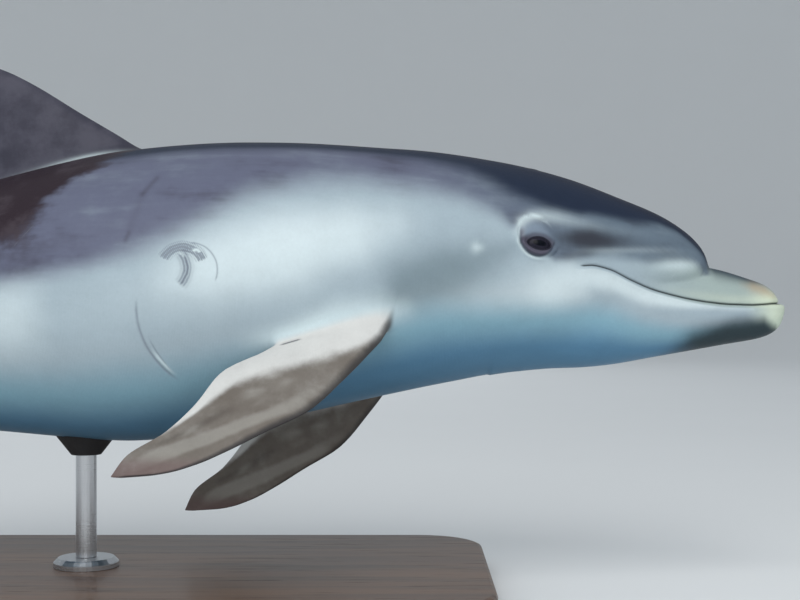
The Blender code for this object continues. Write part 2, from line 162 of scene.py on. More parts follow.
# the body hangs in its own frame, which the two eyes fix: their line gives the bank
eyeMiddle = {side: (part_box("eye_" + side)[0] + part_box("eye_" + side)[1]) / 2 for side in ("right", "left")}
across = eyeMiddle["left"] - eyeMiddle["right"]
bank = Matrix.Rotation(math.atan2(across.z, across.y), 4, "X")
between = (eyeMiddle["left"] + eyeMiddle["right"]) / 2
bodyFrame = Matrix.Translation(between - bank @ Vector((-body["eyeBack"], 0, body["eyeHeight"]))) @ bank


def offsetEllipse(turn, half, top, bottom, centre):
    high, middle = (top - bottom) / 2, (top + bottom) / 2 - centre
    c, s = np.cos(turn), np.sin(turn)
    a = c * c / half ** 2 + s * s / high ** 2
    b = -2 * middle * s / high ** 2
    rest = b * b - 4 * a * (middle ** 2 / high ** 2 - 1)
    return np.where(rest > 0, (-b + np.sqrt(np.maximum(rest, 0))) / (2 * a), 0.0)


def section(back, turn):
    # the reach from the axis, and how far the melon stands outside the beak there
    centre = axisLine(back)
    up = np.maximum(beakTop(back) - centre, 1e-4)
    down = np.maximum(centre - bellyLine(back), 1e-4)
    tall = np.where(np.sin(turn) > 0, up, down)
    side = np.maximum(beakSide(back), 1e-4)
    beak = (np.abs(np.cos(turn) / side) ** 2.2 + np.abs(np.sin(turn) / tall) ** 2.2) ** (-1 / 2.2)
    floor = np.where(back < bodyLines["melonFloor"][-1][0], melonFloor(back), bellyLine(back))
    main = offsetEllipse(turn, sideLine(back), backLine(back), floor, centre)
    main = np.where(back <= body["melonStart"], 0.0, main)
    near = np.maximum(body["creaseSoft"] - np.abs(main - beak), 0) / body["creaseSoft"]
    near = near * step(body["melonStart"], body["melonStart"] + 0.008, back)
    joined = np.maximum(main, beak) + near * near * body["creaseSoft"] / 4
    joined = np.where(back > body["beakEnd"], main, joined)
    return joined * (1 - keelLine(back) * np.sin(2 * turn) ** 2), main - beak


def barePoint(back, turn):
    reach, _ = section(back, turn)
    drop = reach * np.maximum(0, -np.sin(turn))
    lead = body["chinLead"] * np.maximum(0, 1 - back / body["chinLeadEnds"]) ** 2
    lead = lead * (1 - np.exp(-drop / body["lipRound"]))
    return np.stack([lead - back, reach * np.cos(turn), axisLine(back) + reach * np.sin(turn)], -1)


def bareNormal(back, turn):
    along = 1e-4 * np.clip(back / 0.002, 0.001, 1)
    forward = barePoint(back + along, turn) - barePoint(np.maximum(back - along, 1e-7), turn)
    around = barePoint(back, turn + 1e-3) - barePoint(back, turn - 1e-3)
    normal = np.cross(forward, around)
    return normal / np.maximum(np.linalg.norm(normal, axis=-1, keepdims=True), 1e-15)


def foldTurn(turn):
    return np.arctan2(np.sin(turn), np.abs(np.cos(turn)))     # the same on both sides of the body


eyeTurn = 0.0
for _ in range(5):
    eyeReach = float(section(body["lookBack"], eyeTurn)[0])
    eyeTurn = math.asin((body["eyeHeight"] - float(axisLine(body["lookBack"]))) / eyeReach)
eyeStep = barePoint(body["lookBack"], eyeTurn + 0.01) - barePoint(body["lookBack"], eyeTurn - 0.01)
eyeStretch = float(np.linalg.norm(eyeStep)) / 0.02           # metres of skin for each radian at the eye

relief = {
    # ridges and grooves: height, place and half width
    "mouth": (0.0015, 0.0, 0.0007), "lowerLip": (0.0005, -0.003, 0.0022), "upperLip": (0.0003, 0.003, 0.0024),
    "mouthEnds": (-0.004, 0.003), "gapeSpot": (0.0008, 0.001, 0.0045), "gapeHeight": (1.0, 0.0005, 0.0032),
    "crease": (0.0013, 0.0, 0.0024), "creaseStarts": 0.006, "creaseEnds": (0.095, 0.15),
    "creaseFold": (0.02, 0.3),
    "orbit": (0.0022, 0.005), "orbitSize": (0.015, 0.016), "orbitRise": 0.0028,
    "orbitFold": (0.00063, 1.16, 0.09), "orbitGroove": (0.0009, 1.0, 0.08), "orbitOpen": (-0.01, -0.002),
    "ear": (0.266, 0.034), "earPit": (0.001, 0.0, 0.0026),
    "throat": (0.0035, 0.15, 0.04), "throatFold": (1.0, -0.95, 0.5),
    "swell": 0.00025, "swellStarts": (0.2, 0.4),
}


def orbitPlace(ea, eb):
    # a place near the eye, by the sizes of the fold that rings it
    (backAt, upAt), (halfLong, halfTall) = relief["orbit"], relief["orbitSize"]
    return (ea - backAt) / halfLong, (eb - upAt) / halfTall


def reliefAt(back, turn):
    # how far the finished skin stands off the bare form
    reach, gap = section(back, turn)
    fold = foldTurn(turn)
    lift = reach * fold                                      # along the skin, above the mouth line
    gape, melonStart = body["gape"], body["melonStart"]
    mouth = 1 - step(gape + relief["mouthEnds"][0], gape + relief["mouthEnds"][1], back)
    lips = ridge(relief["lowerLip"], lift) + ridge(relief["upperLip"], lift)
    rise = (lips - ridge(relief["mouth"], lift)) * mouth
    rise = rise - ridge(relief["gapeSpot"], back - gape) * ridge(relief["gapeHeight"], lift)
    crease = step(melonStart, melonStart + relief["creaseStarts"], back)
    crease = crease * (1 - step(*relief["creaseEnds"], back))
    rise = rise - ridge(relief["crease"], gap) * crease * step(*relief["creaseFold"], fold)
    ea, eb = back - body["lookBack"], eyeStretch * (fold - eyeTurn)
    away = np.hypot(*orbitPlace(ea, eb))
    rise = rise + relief["orbitRise"] * np.exp(-0.8 * away ** 4)
    around = step(*relief["orbitOpen"], ea)                  # the fold runs round the eye, open at its front
    rise = rise + (ridge(relief["orbitFold"], away) - ridge(relief["orbitGroove"], away)) * around
    ear = np.hypot(back - relief["ear"][0], lift + axisLine(back) - relief["ear"][1])
    rise = rise - ridge(relief["earPit"], ear)
    rise = rise + ridge(relief["throat"], back) * ridge(relief["throatFold"], fold)
    x, y, z = -back, reach * np.cos(turn), reach * np.sin(turn)
    waves = (np.sin(31 * x + 17 * z + 1.3) + np.sin(23 * x - 29 * z + 11 * y) + np.sin(47 * x + 9 * y + 2.1))
    return rise + relief["swell"] * waves * step(*relief["swellStarts"], back)


def skinPoint(back, turn):
    back, turn = np.broadcast_arrays(np.asarray(back, float), np.asarray(turn, float))
    return barePoint(back, turn) + bareNormal(back, turn) * reliefAt(back, turn)[..., None]


# fins: outlines run from the root to the tip as (span, distance back)
fins = {
    "dorsal": {
        "front": [(0.07, 0.47), (0.11, 0.52), (0.1395, 0.5593), (0.1734, 0.6146), (0.201, 0.66),
                  (0.2124, 0.6845), (0.22, 0.713), (0.2235, 0.752)],
        "rear": [(0.07, 0.785), (0.09, 0.762), (0.11, 0.75), (0.155, 0.7405), (0.19, 0.7415),
                 (0.21, 0.75), (0.2235, 0.766)],
        "thickness": 0.022, "fillet": 0.009, "margin": (0.02, 0.016), "rings": 34},
    "flipper": {
        "front": [(-0.04, 0.018), (-0.014, 0.005), (-0.002, 0.0014), (0.01, 0.0068), (0.0357, 0.0228),
                  (0.0625, 0.0417), (0.0895, 0.0638), (0.1116, 0.0974), (0.1302, 0.1252), (0.1436, 0.1498),
                  (0.151, 0.1745), (0.1528, 0.195)],
        "rear": [(-0.04, 0.06), (0.0, 0.066), (0.0258, 0.0985), (0.0508, 0.1344), (0.0844, 0.1521),
                 (0.1116, 0.1719), (0.135, 0.1988), (0.1528, 0.207)],
        "thickness": 0.02, "fillet": 0.004, "margin": (0.006, 0.005), "rings": 40,
        "rootBack": {"right": 0.333, "left": 0.317}, "rootOut": 0.0806, "rootHeight": -0.0325,
        "droop": {"right": math.radians(54), "left": math.radians(72)},
        "forward": {"right": 0.0, "left": math.radians(-1.5)}, "curl": 0.15},
    "fluke": {
        "front": [(0.0, 1.174), (0.014, 1.186), (0.03, 1.1975), (0.06, 1.2135), (0.09, 1.231),
                  (0.115, 1.25), (0.135, 1.2705), (0.147, 1.2875), (0.152, 1.2985)],
        "rear": [(0.0, 1.2865), (0.005, 1.294), (0.018, 1.3), (0.04, 1.3005), (0.07, 1.295),
                 (0.1, 1.291), (0.125, 1.2925), (0.142, 1.2985), (0.152, 1.305)],
        "thickness": 0.022, "chord": 0.1, "height": -0.0445, "tipDrop": 0.008,
        "slope": 0.05, "slopeFrom": 1.2,
        # how the stock turns into blades: mostly the distances back between which each change runs
        "opens": (1.17, 1.3), "corner": 0.003, "soft": 0.01, "swells": (1.13, 1.2), "stockSoft": 0.35,
        "pinch": 0.25, "pinches": (1.15, 1.25), "flattens": (1.12, 1.22)},
    "edge": 0.0012, "blendRings": 10,
    "tipRings": [(0.9, 0.0006), (0.65, 0.0013), (0.3, 0.0017)],     # shrink and push of the cap's rings
    "tipReach": 0.0019,
    "firstX": 0.035, "lastX": 0.975,                         # where a hole's short sides join a fin's section
}


def foilHalf(x):
    return 5 * (0.2969 * np.sqrt(x) - 0.126 * x - 0.3516 * x ** 2 + 0.2843 * x ** 3 - 0.1036 * x ** 4)


def finHalf(thickness, share, x):
    full = thickness * (1 - share) ** 0.8 + 2 * fins["edge"]
    return full * foilHalf(x) + fins["edge"] / 2 * np.sqrt(x)


def finPoint(kind, which, share, x, face):
    # share runs from root to tip, x from the leading to the trailing edge, face is +1 or -1
    fin = fins[kind]
    share, x, face = np.broadcast_arrays(*(np.asarray(v, float) for v in (share, x, face)))
    low, high = fin["front"][0][0], fin["front"][-1][0]
    span = low + (high - low) * share
    start, end = smoothLine(fin["front"])(span), smoothLine(fin["rear"])(span)
    along = start + (end - start) * x
    side = face * finHalf(fin["thickness"], share, x) * np.sqrt(1 - np.clip((x - 0.99) / 0.01, 0, 1) ** 2)
    if kind == "dorsal":
        return np.stack([-along, side, span], -1)
    hand = -1 if which == "right" else 1
    droop, forward = fin["droop"][which], fin["forward"][which]
    back = math.cos(forward) * along - math.sin(forward) * span
    reach = math.cos(forward) * span + math.sin(forward) * along
    side = side - fin["curl"] * np.maximum(span, 0) ** 2
    out = fin["rootOut"] + math.cos(droop) * reach + math.sin(droop) * side
    down = math.sin(droop) * reach - math.cos(droop) * side
    return np.stack([-fin["rootBack"][which] - back, hand * out, fin["rootHeight"] - down], -1)


def outside(points):
    # how far points stand outside the body, and their place on it
    back = -points[..., 0]
    height = points[..., 2] - axisLine(back)
    turn = np.arctan2(height, points[..., 1])
    return np.hypot(points[..., 1], height) - section(back, turn)[0], back, turn


def flukeRing(t, u):
    # one ring of the tail: a wide thin loop whose ends run down the leading edges
    fluke = fins["fluke"]
    front, rear = smoothLine(fluke["front"]), smoothLine(fluke["rear"])
    tip, rootRear = fluke["front"][-1][0], fluke["rear"][0][1]
    opensFrom, opensBy = fluke["opens"]
    shift = float(step(opensFrom, rootRear, t)) ** opensBy
    swell = float(step(*fluke["swells"], t))
    outs = np.linspace(0, tip, 400)
    ahead = t + (rear(outs) - rootRear) * shift - front(outs)
    reached = np.nonzero(ahead >= 0)[0]
    wide = 0.0
    if len(reached):
        last = reached[-1]
        wide = outs[last]
        if last + 1 < len(outs):
            wide += (outs[1] - outs[0]) * ahead[last] / (ahead[last] - ahead[last + 1])
        else:
            wide -= fluke["corner"] * (ahead[last] / (rear(tip) - front(tip))) ** 2     # rounds the corner
    half = float(sideLine(t))
    wide = float(softMax(wide, half, fluke["soft"] * swell + 1e-6))
    power = 1 + fluke["pinch"] * float(step(*fluke["pinches"], t))
    c, s = np.cos(u), np.sin(u)
    y = wide * np.copysign(np.abs(c) ** power, c)
    out = np.abs(y)
    back = t + (rear(np.minimum(out, tip)) - rootRear) * shift
    chord = np.clip((back - front(out)) / (rear(out) - front(out)), 0, 1)
    blade = np.where(out < tip, finHalf(fluke["thickness"], np.clip(out / tip, 0, 1), chord), 0)
    high = (backLine(back) - bellyLine(back)) / 2
    inside = 1 - (y / np.maximum(sideLine(back), 1e-4)) ** 2
    soft = fluke["stockSoft"] * swell
    stock = high ** 2 * (inside + np.sqrt(inside ** 2 + soft ** 2)) / 2
    stock = stock * (1 - (out / wide) ** 6) if soft > 0 else high ** 2 * s ** 2
    half = np.sqrt(np.maximum(blade ** 2 + stock, 0))
    bladeMiddle = fluke["height"] - fluke["tipDrop"] * (out / tip) ** 2
    bladeMiddle = bladeMiddle - fluke["slope"] * (back - fluke["slopeFrom"])
    mix = step(*fluke["flattens"], back)
    middle = (backLine(back) + bellyLine(back)) / 2 * (1 - mix) + bladeMiddle * mix
    face = np.where(np.abs(s) < 1e-9, 0.0, np.sign(s))
    return np.stack([-back, y, middle + face * half], -1)


class Skin:
    # gathers points and faces, with each corner's place in the flat layout
    def __init__(self):
        self.points, self.marks, self.faces, self.flats, self.soften = [], [], [], [], []

    def add(self, points, marks):
        start = len(self.points)
        self.points.extend(np.asarray(points, float).reshape(-1, 3))
        self.marks.extend(np.asarray(marks, float).reshape(-1, len(markOf)))
        return np.arange(start, len(self.points))

    def quad(self, corners, flat):
        self.faces.append([int(c) for c in corners])
        self.flats.extend(flat)

    def fan(self, first, second, top, flat):
        # one triangle up to a closing point
        self.faces.append([int(first), int(second), int(top)])
        self.flats.extend(flat)


# what each point of the skin carries: its distance back, the fins, its place on a fin, and the dark rims
markOf = {"back": 0, "dorsal": 1, "flipper": 2, "fluke": 3, "chord": 4, "share": 5, "face": 6, "rim": 7}


def marksFor(back, **values):
    back = np.asarray(back, float)
    rows = np.zeros(back.shape + (len(markOf),))
    for name, value in {"back": back, **values}.items():
        rows[..., markOf[name]] = value
    return rows


layout = {
    "scale": 0.735, "left": 0.012, "middle": 0.285,          # metres of skin to the unit square
    "islands": {"top": ((0.015, 0.6), (0.275, 0.6)), "right": ((0.015, 0.775), (0.225, 0.775)),
                "left": ((0.435, 0.775), (0.645, 0.775))},
}


def buildGrid():
    count = body["columns"]
    u = 2 * math.pi * np.arange(count) / count
    stations = list(np.linspace(0.003, math.sqrt(0.02), body["tipRings"])[:-1] ** 2)
    for start, end, gap in body["runs"]:
        steps = max(2, round((end - start) / gap))
        stations += list(np.linspace(start, end, steps + 1)[:-1])
    stations.append(body["runs"][-1][1])
    backs = np.array(stations)
    squeeze = body["squeeze"] * (1 - step(*body["squeezeEnds"], backs))
    turns = u[None, :] - squeeze[:, None] / 2 * np.sin(2 * u)[None, :]
    rows = []
    for back, turn in zip(backs, turns):
        mix = float(step(1.06, 1.14, back))
        ring = skinPoint(np.full(count, back), turn) if mix < 1 else 0
        if mix > 0:
            ring = ring * (1 - mix) + flukeRing(back, u) * mix
        rows.append(ring)
    points = np.array(rows)
    # the flat layout runs along the body, and round from the middle of the back
    order = (np.arange(count + 1) + 3 * count // 4) % count
    rolled = points[:, order]
    arcs = np.linalg.norm(np.diff(rolled, axis=1), axis=2)
    around = np.concatenate([np.zeros((len(backs), 1)), np.cumsum(arcs, axis=1)], axis=1)
    around -= around[:, count // 2][:, None]
    along = np.where(backs[:, None] < 0.02, backs[:, None], -rolled[..., 0])
    flats = np.stack([layout["left"] + layout["scale"] * (along + 0.006),
                      layout["middle"] + layout["scale"] * around], -1)
    return backs, turns, u, points, flats


def buildSkin():
    skin = Skin()
    backs, turns, u, points, flats = buildGrid()
    count = body["columns"]
    fromBottom = (np.arange(count) - 3 * count // 4) % count

    def place(back, turn):
        # fractional ring and column of a place on the body
        i = np.interp(back, backs, np.arange(len(backs)))
        squeeze = body["squeeze"] * (1 - step(*body["squeezeEnds"], back))
        at = np.array(turn, float)
        for _ in range(12):
            at = turn + squeeze / 2 * np.sin(2 * at)
        return i, at / (2 * math.pi) * count

    def flatAt(i, j):
        c = (np.asarray(j) - 3 * count // 4) % count
        a, b = np.clip(np.floor(i).astype(int), 0, len(backs) - 2), np.floor(c).astype(int)
        p, q = (i - a)[..., None], (c - b)[..., None]
        return ((flats[a, b] * (1 - p) + flats[a + 1, b] * p) * (1 - q)
                + (flats[a, b + 1] * (1 - p) + flats[a + 1, b + 1] * p) * q)

    holes = []

    def cutHole(backLow, backHigh, turnLow, turnHigh):
        i0 = int(np.searchsorted(backs, backLow)) - 1
        i1 = int(np.searchsorted(backs, backHigh))
        middle = (backLow + backHigh) / 2
        j0 = int(math.floor(place(middle, turnLow)[1]))
        j1 = int(math.ceil(place(middle, turnHigh)[1]))
        j1 += (j1 - j0) % 2
        holes.append((i0, i1, j0, j1))
        return i0, i1, j0, j1

    def holeLoop(hole):
        # round the hole: front side upwards in column, then back along it, down, and forward again
        i0, i1, j0, j1 = hole
        loop = [(i0, j) for j in range(j0, j1)] + [(i, j1) for i in range(i0, i1)]
        loop += [(i1, j) for j in range(j1, j0, -1)] + [(i, j0) for i in range(i1, i0, -1)]
        return loop

    plans = planFins(cutHole) + planEyes(cutHole) + [planBlowhole(cutHole)]
    removed = np.zeros((len(backs), count), bool)
    for i0, i1, j0, j1 in holes:
        for i in range(i0 + 1, i1):
            for j in range(j0 + 1, j1):
                removed[i, j % count] = True
    covered = np.zeros((len(backs) - 1, count), bool)
    for i0, i1, j0, j1 in holes:
        for i in range(i0, i1):
            for j in range(j0, j1):
                covered[i, j % count] = True

    ids = np.full((len(backs), count), -1)
    wide = step(1.17, 1.2, backs)[:, None] * step(0.012, 0.03, np.abs(points[..., 1]))
    front, out = smoothLine(fins["fluke"]["front"]), np.abs(points[..., 1])
    chord = np.clip((-points[..., 0] - front(out)) / fins["fluke"]["chord"], 0, 1)
    share = np.clip(out / fins["fluke"]["front"][-1][0], 0, 1)
    marks = marksFor(np.broadcast_to(backs[:, None], out.shape), fluke=wide, chord=chord, share=share,
                     face=np.sign(np.sin(u)) * wide)
    keep = ~removed
    ids[keep] = skin.add(points[keep], marks[keep])
    for i in range(len(backs) - 1):
        for j in range(count):
            if covered[i, j]:
                continue
            n, c = (j + 1) % count, fromBottom[j]
            skin.quad((ids[i, j], ids[i, n], ids[i + 1, n], ids[i + 1, j]),
                      (flats[i, c], flats[i, c + 1], flats[i + 1, c + 1], flats[i + 1, c]))
    # the front pole, and the trailing edge that closes the last ring
    pole = skin.add([(-relief["mouth"][0] * 0.6, 0, 0)], marksFor([0.0]))[0]
    poleFlat = flats[0, count // 2] - np.array([layout["scale"] * 0.001, 0])
    for j in range(count):
        n, c = (j + 1) % count, fromBottom[j]
        skin.fan(pole, ids[0, n], ids[0, j], (poleFlat, flats[0, c + 1], flats[0, c]))
    last = len(backs) - 1
    edge = points[last].copy()
    middleHeight = (edge[:, 2] + edge[(-np.arange(count)) % count, 2]) / 2
    edge[:, 0] -= 0.0005
    edge[:, 2] = middleHeight + (edge[:, 2] - middleHeight) * 0.45
    edgeIds = skin.add(edge, marks[last])
    edgeFlats = flats[last] + np.array([layout["scale"] * 0.0009, 0])
    for j in range(count):
        n, c = (j + 1) % count, fromBottom[j]
        skin.quad((ids[last, j], ids[last, n], edgeIds[n], edgeIds[j]),
                  (flats[last, c], flats[last, c + 1], edgeFlats[c + 1], edgeFlats[c]))
    shut = np.array([layout["scale"] * 0.0006, 0])
    for j in range(count // 2):
        n, m, mn = j + 1, (-j) % count, (-j - 1) % count
        c = fromBottom[j]
        corners = [int(edgeIds[j]), int(edgeIds[n]), int(edgeIds[mn]), int(edgeIds[m])]
        flat = [edgeFlats[c], edgeFlats[c + 1], edgeFlats[c + 1] + shut, edgeFlats[c] + shut]
        kept = [k for k in range(4) if corners[k] not in corners[:k]]
        skin.faces.append([corners[k] for k in kept])
        skin.flats.extend([flat[k] for k in kept])

    shared = {"skin": skin, "ids": ids, "backs": backs, "turns": turns, "count": count, "loop": holeLoop,
              "flatAt": flatAt, "place": place}
    for plan in plans:
        plan["build"](shared, plan)
    return skin


def holeEdge(shared, plan):
    # the points round a hole, with their places on the body
    loop = shared["loop"](plan["hole"])
    places = [(i, j % shared["count"]) for i, j in loop]
    ids, turns = (np.array([shared[name][at] for at in places]) for name in ("ids", "turns"))
    return loop, ids, np.array([shared["backs"][i] for i, _ in places]), turns


def edgeRun(gaps, lead, trail, way):
    # the distance round a fin's section from its leading edge to each point, going one way
    row, total, k = {lead: 0.0}, 0.0, lead
    while k != trail:
        total += gaps[k if way > 0 else (k - 1) % len(gaps)]
        k = (k + way) % len(gaps)
        row[k] = total
    return row


def planFins(cutHole):
    plans = []
    for kind, which in (("dorsal", "top"), ("flipper", "right"), ("flipper", "left")):
        fin = fins[kind]
        x = np.concatenate([np.linspace(0, 1, 60), np.linspace(1, 0, 60)])
        face = np.repeat([1.0, -1.0], 60)
        shares = np.linspace(0, 0.7, 140)[:, None]
        far, back, turn = outside(finPoint(kind, which, shares, x[None, :], face[None, :]))
        first = np.argmax(far > 0, axis=0)
        columns = np.arange(len(x))
        back, turn = back[first, columns], turn[first, columns]
        turn = turn % (2 * math.pi) if which != "left" else turn
        reach = float(section(float(back.mean()), float(turn.mean()))[0])
        ahead, around = fin["margin"]
        hole = cutHole(back.min() - ahead, back.max() + ahead,
                       turn.min() - around / reach, turn.max() + around / reach)
        plans.append({"build": growFin, "kind": kind, "which": which, "hole": hole})
    return plans


def finSection(hole, loop, upperIsHigh):
    # each point of the hole takes a place on the fin's section: short sides wrap the two edges
    i0, i1, j0, j1 = hole
    firstX, lastX = fins["firstX"], fins["lastX"]
    x, face = np.zeros(len(loop)), np.zeros(len(loop))
    for k, (i, j) in enumerate(loop):
        v = (j - (j0 + j1) / 2) / ((j1 - j0) / 2)
        if i == i0:
            x[k] = firstX * v * v
        elif i == i1:
            x[k] = 1 - (1 - lastX) * v * v
        else:
            x[k] = firstX + (lastX - firstX) * (i - i0) / (i1 - i0)
        face[k] = np.sign(v) * (1 if upperIsHigh else -1)
    return x, face


def growFin(shared, plan):
    skin, kind, which = shared["skin"], plan["kind"], plan["which"]
    fin = fins[kind]
    loop, ids, _, _ = holeEdge(shared, plan)
    count = len(loop)
    start = np.array([skin.points[k] for k in ids])
    x, face = finSection(plan["hole"], loop, kind == "flipper" and which == "left")
    shares = np.linspace(0, 0.85, 260)
    far, _, _ = outside(finPoint(kind, which, shares[:, None], x[None, :], face[None, :]))
    leave = shares[np.argmax(far > fin["fillet"], axis=0)]
    for _ in range(6):
        leave = (np.roll(leave, 1) + 2 * leave + np.roll(leave, -1)) / 4
    end = finPoint(kind, which, leave, x, face)
    ahead = finPoint(kind, which, leave + 0.01, x, face) - end
    ahead /= np.linalg.norm(ahead, axis=1, keepdims=True)
    _, back, turn = outside(start)
    normal = bareNormal(back, turn)
    chordLine = end - start
    size = np.linalg.norm(chordLine, axis=1, keepdims=True)
    leaving = chordLine - normal * (chordLine * normal).sum(1, keepdims=True)
    leaving /= np.maximum(np.linalg.norm(leaving, axis=1, keepdims=True), 1e-9)
    rings, weights, spanShares = [start], [np.zeros(count)], [np.zeros(count)]
    for r in range(1, fins["blendRings"]):
        t = r / fins["blendRings"]
        rings.append((2 * t ** 3 - 3 * t ** 2 + 1) * start + (t ** 3 - 2 * t ** 2 + t) * leaving * size * 1.1
                     + (-2 * t ** 3 + 3 * t ** 2) * end + (t ** 3 - t ** 2) * ahead * size * 1.1)
        weights.append(np.full(count, float(step(0.3, 1.0, t))))
        spanShares.append(leave * t)
    for r in range(fin["rings"] + 1):
        g = math.sin(math.pi / 2 * r / fin["rings"])
        share = leave + (1 - leave) * g
        rings.append(finPoint(kind, which, share, x, face))
        weights.append(np.ones(count))
        spanShares.append(share)
    middle = rings[-1].mean(0)
    outward = finPoint(kind, which, 1.0, 0.5, 0.0) - finPoint(kind, which, 0.97, 0.5, 0.0)
    outward = outward / np.linalg.norm(outward)
    for shrink, push in fins["tipRings"]:
        rings.append(middle + (rings[fins["blendRings"] + fin["rings"]] - middle) * shrink + outward * push)
        weights.append(np.ones(count))
        spanShares.append(np.ones(count))
    # flat layout: each face of the fin is an island, laid out by arc from the leading edge
    lead = int(np.argmin(x + np.abs(face) * 1e-6))
    trail = int(np.argmax(x - np.abs(face) * 1e-6))
    spread = []
    height = 0.0
    for r, ring in enumerate(rings):
        if r:
            height += float(np.median(np.linalg.norm(ring - rings[r - 1], axis=1)))
        gaps = np.linalg.norm(np.roll(ring, -1, axis=0) - ring, axis=1)
        spread.append((-ring[lead][0], height, edgeRun(gaps, lead, trail, 1), edgeRun(gaps, lead, trail, -1)))
    spots = layout["islands"][which]
    least = min(s[0] for s in spread)

    def flat(r, k, second):
        leadAt, high, *faceRows = spread[r]
        left, bottom = spots[second]
        return np.array([left + layout["scale"] * (leadAt - least + faceRows[second][k]),
                         bottom + layout["scale"] * high])

    rows = [ids]
    for r in range(1, len(rings)):
        marks = marksFor(-rings[r][:, 0], chord=x, share=spanShares[r], face=face, **{kind: weights[r]})
        rows.append(skin.add(rings[r], marks))
    for k, chord in zip(ids, x):
        skin.marks[k][markOf["chord"]] = chord
    inFirst = {(lead + n) % count for n in range((trail - lead) % count)}
    for r in range(len(rings) - 1):
        for k in range(count):
            n = (k + 1) % count
            second = k not in inFirst
            corners = ((r, k), (r, n), (r + 1, n), (r + 1, k))
            skin.quad([rows[ring][at] for ring, at in corners], [flat(*at, second) for at in corners])
    topMarks = marksFor([-middle[0]], chord=0.5, share=1, **{kind: 1})
    top = skin.add([middle + outward * fins["tipReach"]], topMarks)[0]
    lastRow = len(rings) - 1
    for k in range(count):
        n = (k + 1) % count
        second = k not in inFirst
        a, b = flat(lastRow, k, second), flat(lastRow, n, second)
        skin.fan(rows[-1][k], rows[-1][n], top, (a, b, (a + b) / 2 + np.array([0, layout["scale"] * 0.001])))
    skin.soften.extend(int(v) for row in rows[:fins["blendRings"] + 2] for v in row)


eye = {
    "lookIn": 0.01, "globe": (0.015, 0.0128, 0.0112),        # half sizes along the body, up, and outwards
    "length": 0.01, "above": 0.0054, "below": 0.005, "point": 1.3,
    "margin": 0.0009, "rings": 26, "spread": 1.6, "hole": (0.0185, 0.0215, 0.0165, 0.0175),
    "aim": (0.02, 0.017),
    # ridges and grooves by distance from the lids' edge: height, place and half width
    "upperPad": (0.0012, 0.0055, 0.0045), "upperGroove": (0.0005, 0.0022, 0.0006),
    "lowerRing": (0.001, 0.003, 0.0022), "lowerGroove": (0.0009, 0.0068, 0.0013),
    "cornerFold": (0.0008, 0.0, 0.001), "cornerTilt": ((1, -0.3), (-1, -0.1)), "cornerRun": (0.003, 0.008),
    # the lids' edge turns in over the globe: (distance in, height above the globe)
    "tuck": [(0.0003, 0.00075), (0.00055, 0.0003), (0.00065, -0.0006), (0.003, -0.004)], "rim": 0.0011,
    "lean": 0.28, "leanEnds": 0.005, "floor": 0.006,
}


def eyeBasis(hand):
    # a globe's middle on the skin, with the ways along the body, up, and outwards
    back, turn = body["lookBack"], eyeTurn if hand > 0 else math.pi - eyeTurn
    at, normal = barePoint(back, turn), bareNormal(back, turn)
    along = barePoint(back + 0.002, turn) - barePoint(back - 0.002, turn)
    along /= np.linalg.norm(along)
    up = np.cross(normal, along) * hand
    up = up / np.linalg.norm(up)
    return at, along, -up if up[2] < 0 else up, normal


def globeHeight(a, b):
    ra, rb, rn = eye["globe"]
    rest = 1 - (a / ra) ** 2 - (b / rb) ** 2
    return rn * np.sqrt(np.maximum(rest, 0.02)) - eye["lookIn"]


def planEyes(cutHole):
    plans = []
    ahead, behind, below, above = eye["hole"]
    for hand in (-1, 1):
        low, high = eyeTurn - below / eyeStretch, eyeTurn + above / eyeStretch
        if hand < 0:
            low, high = math.pi - high, math.pi - low
        hole = cutHole(body["lookBack"] - ahead, body["lookBack"] + behind, low, high)
        plans.append({"build": openEye, "hand": hand, "hole": hole})
    return plans


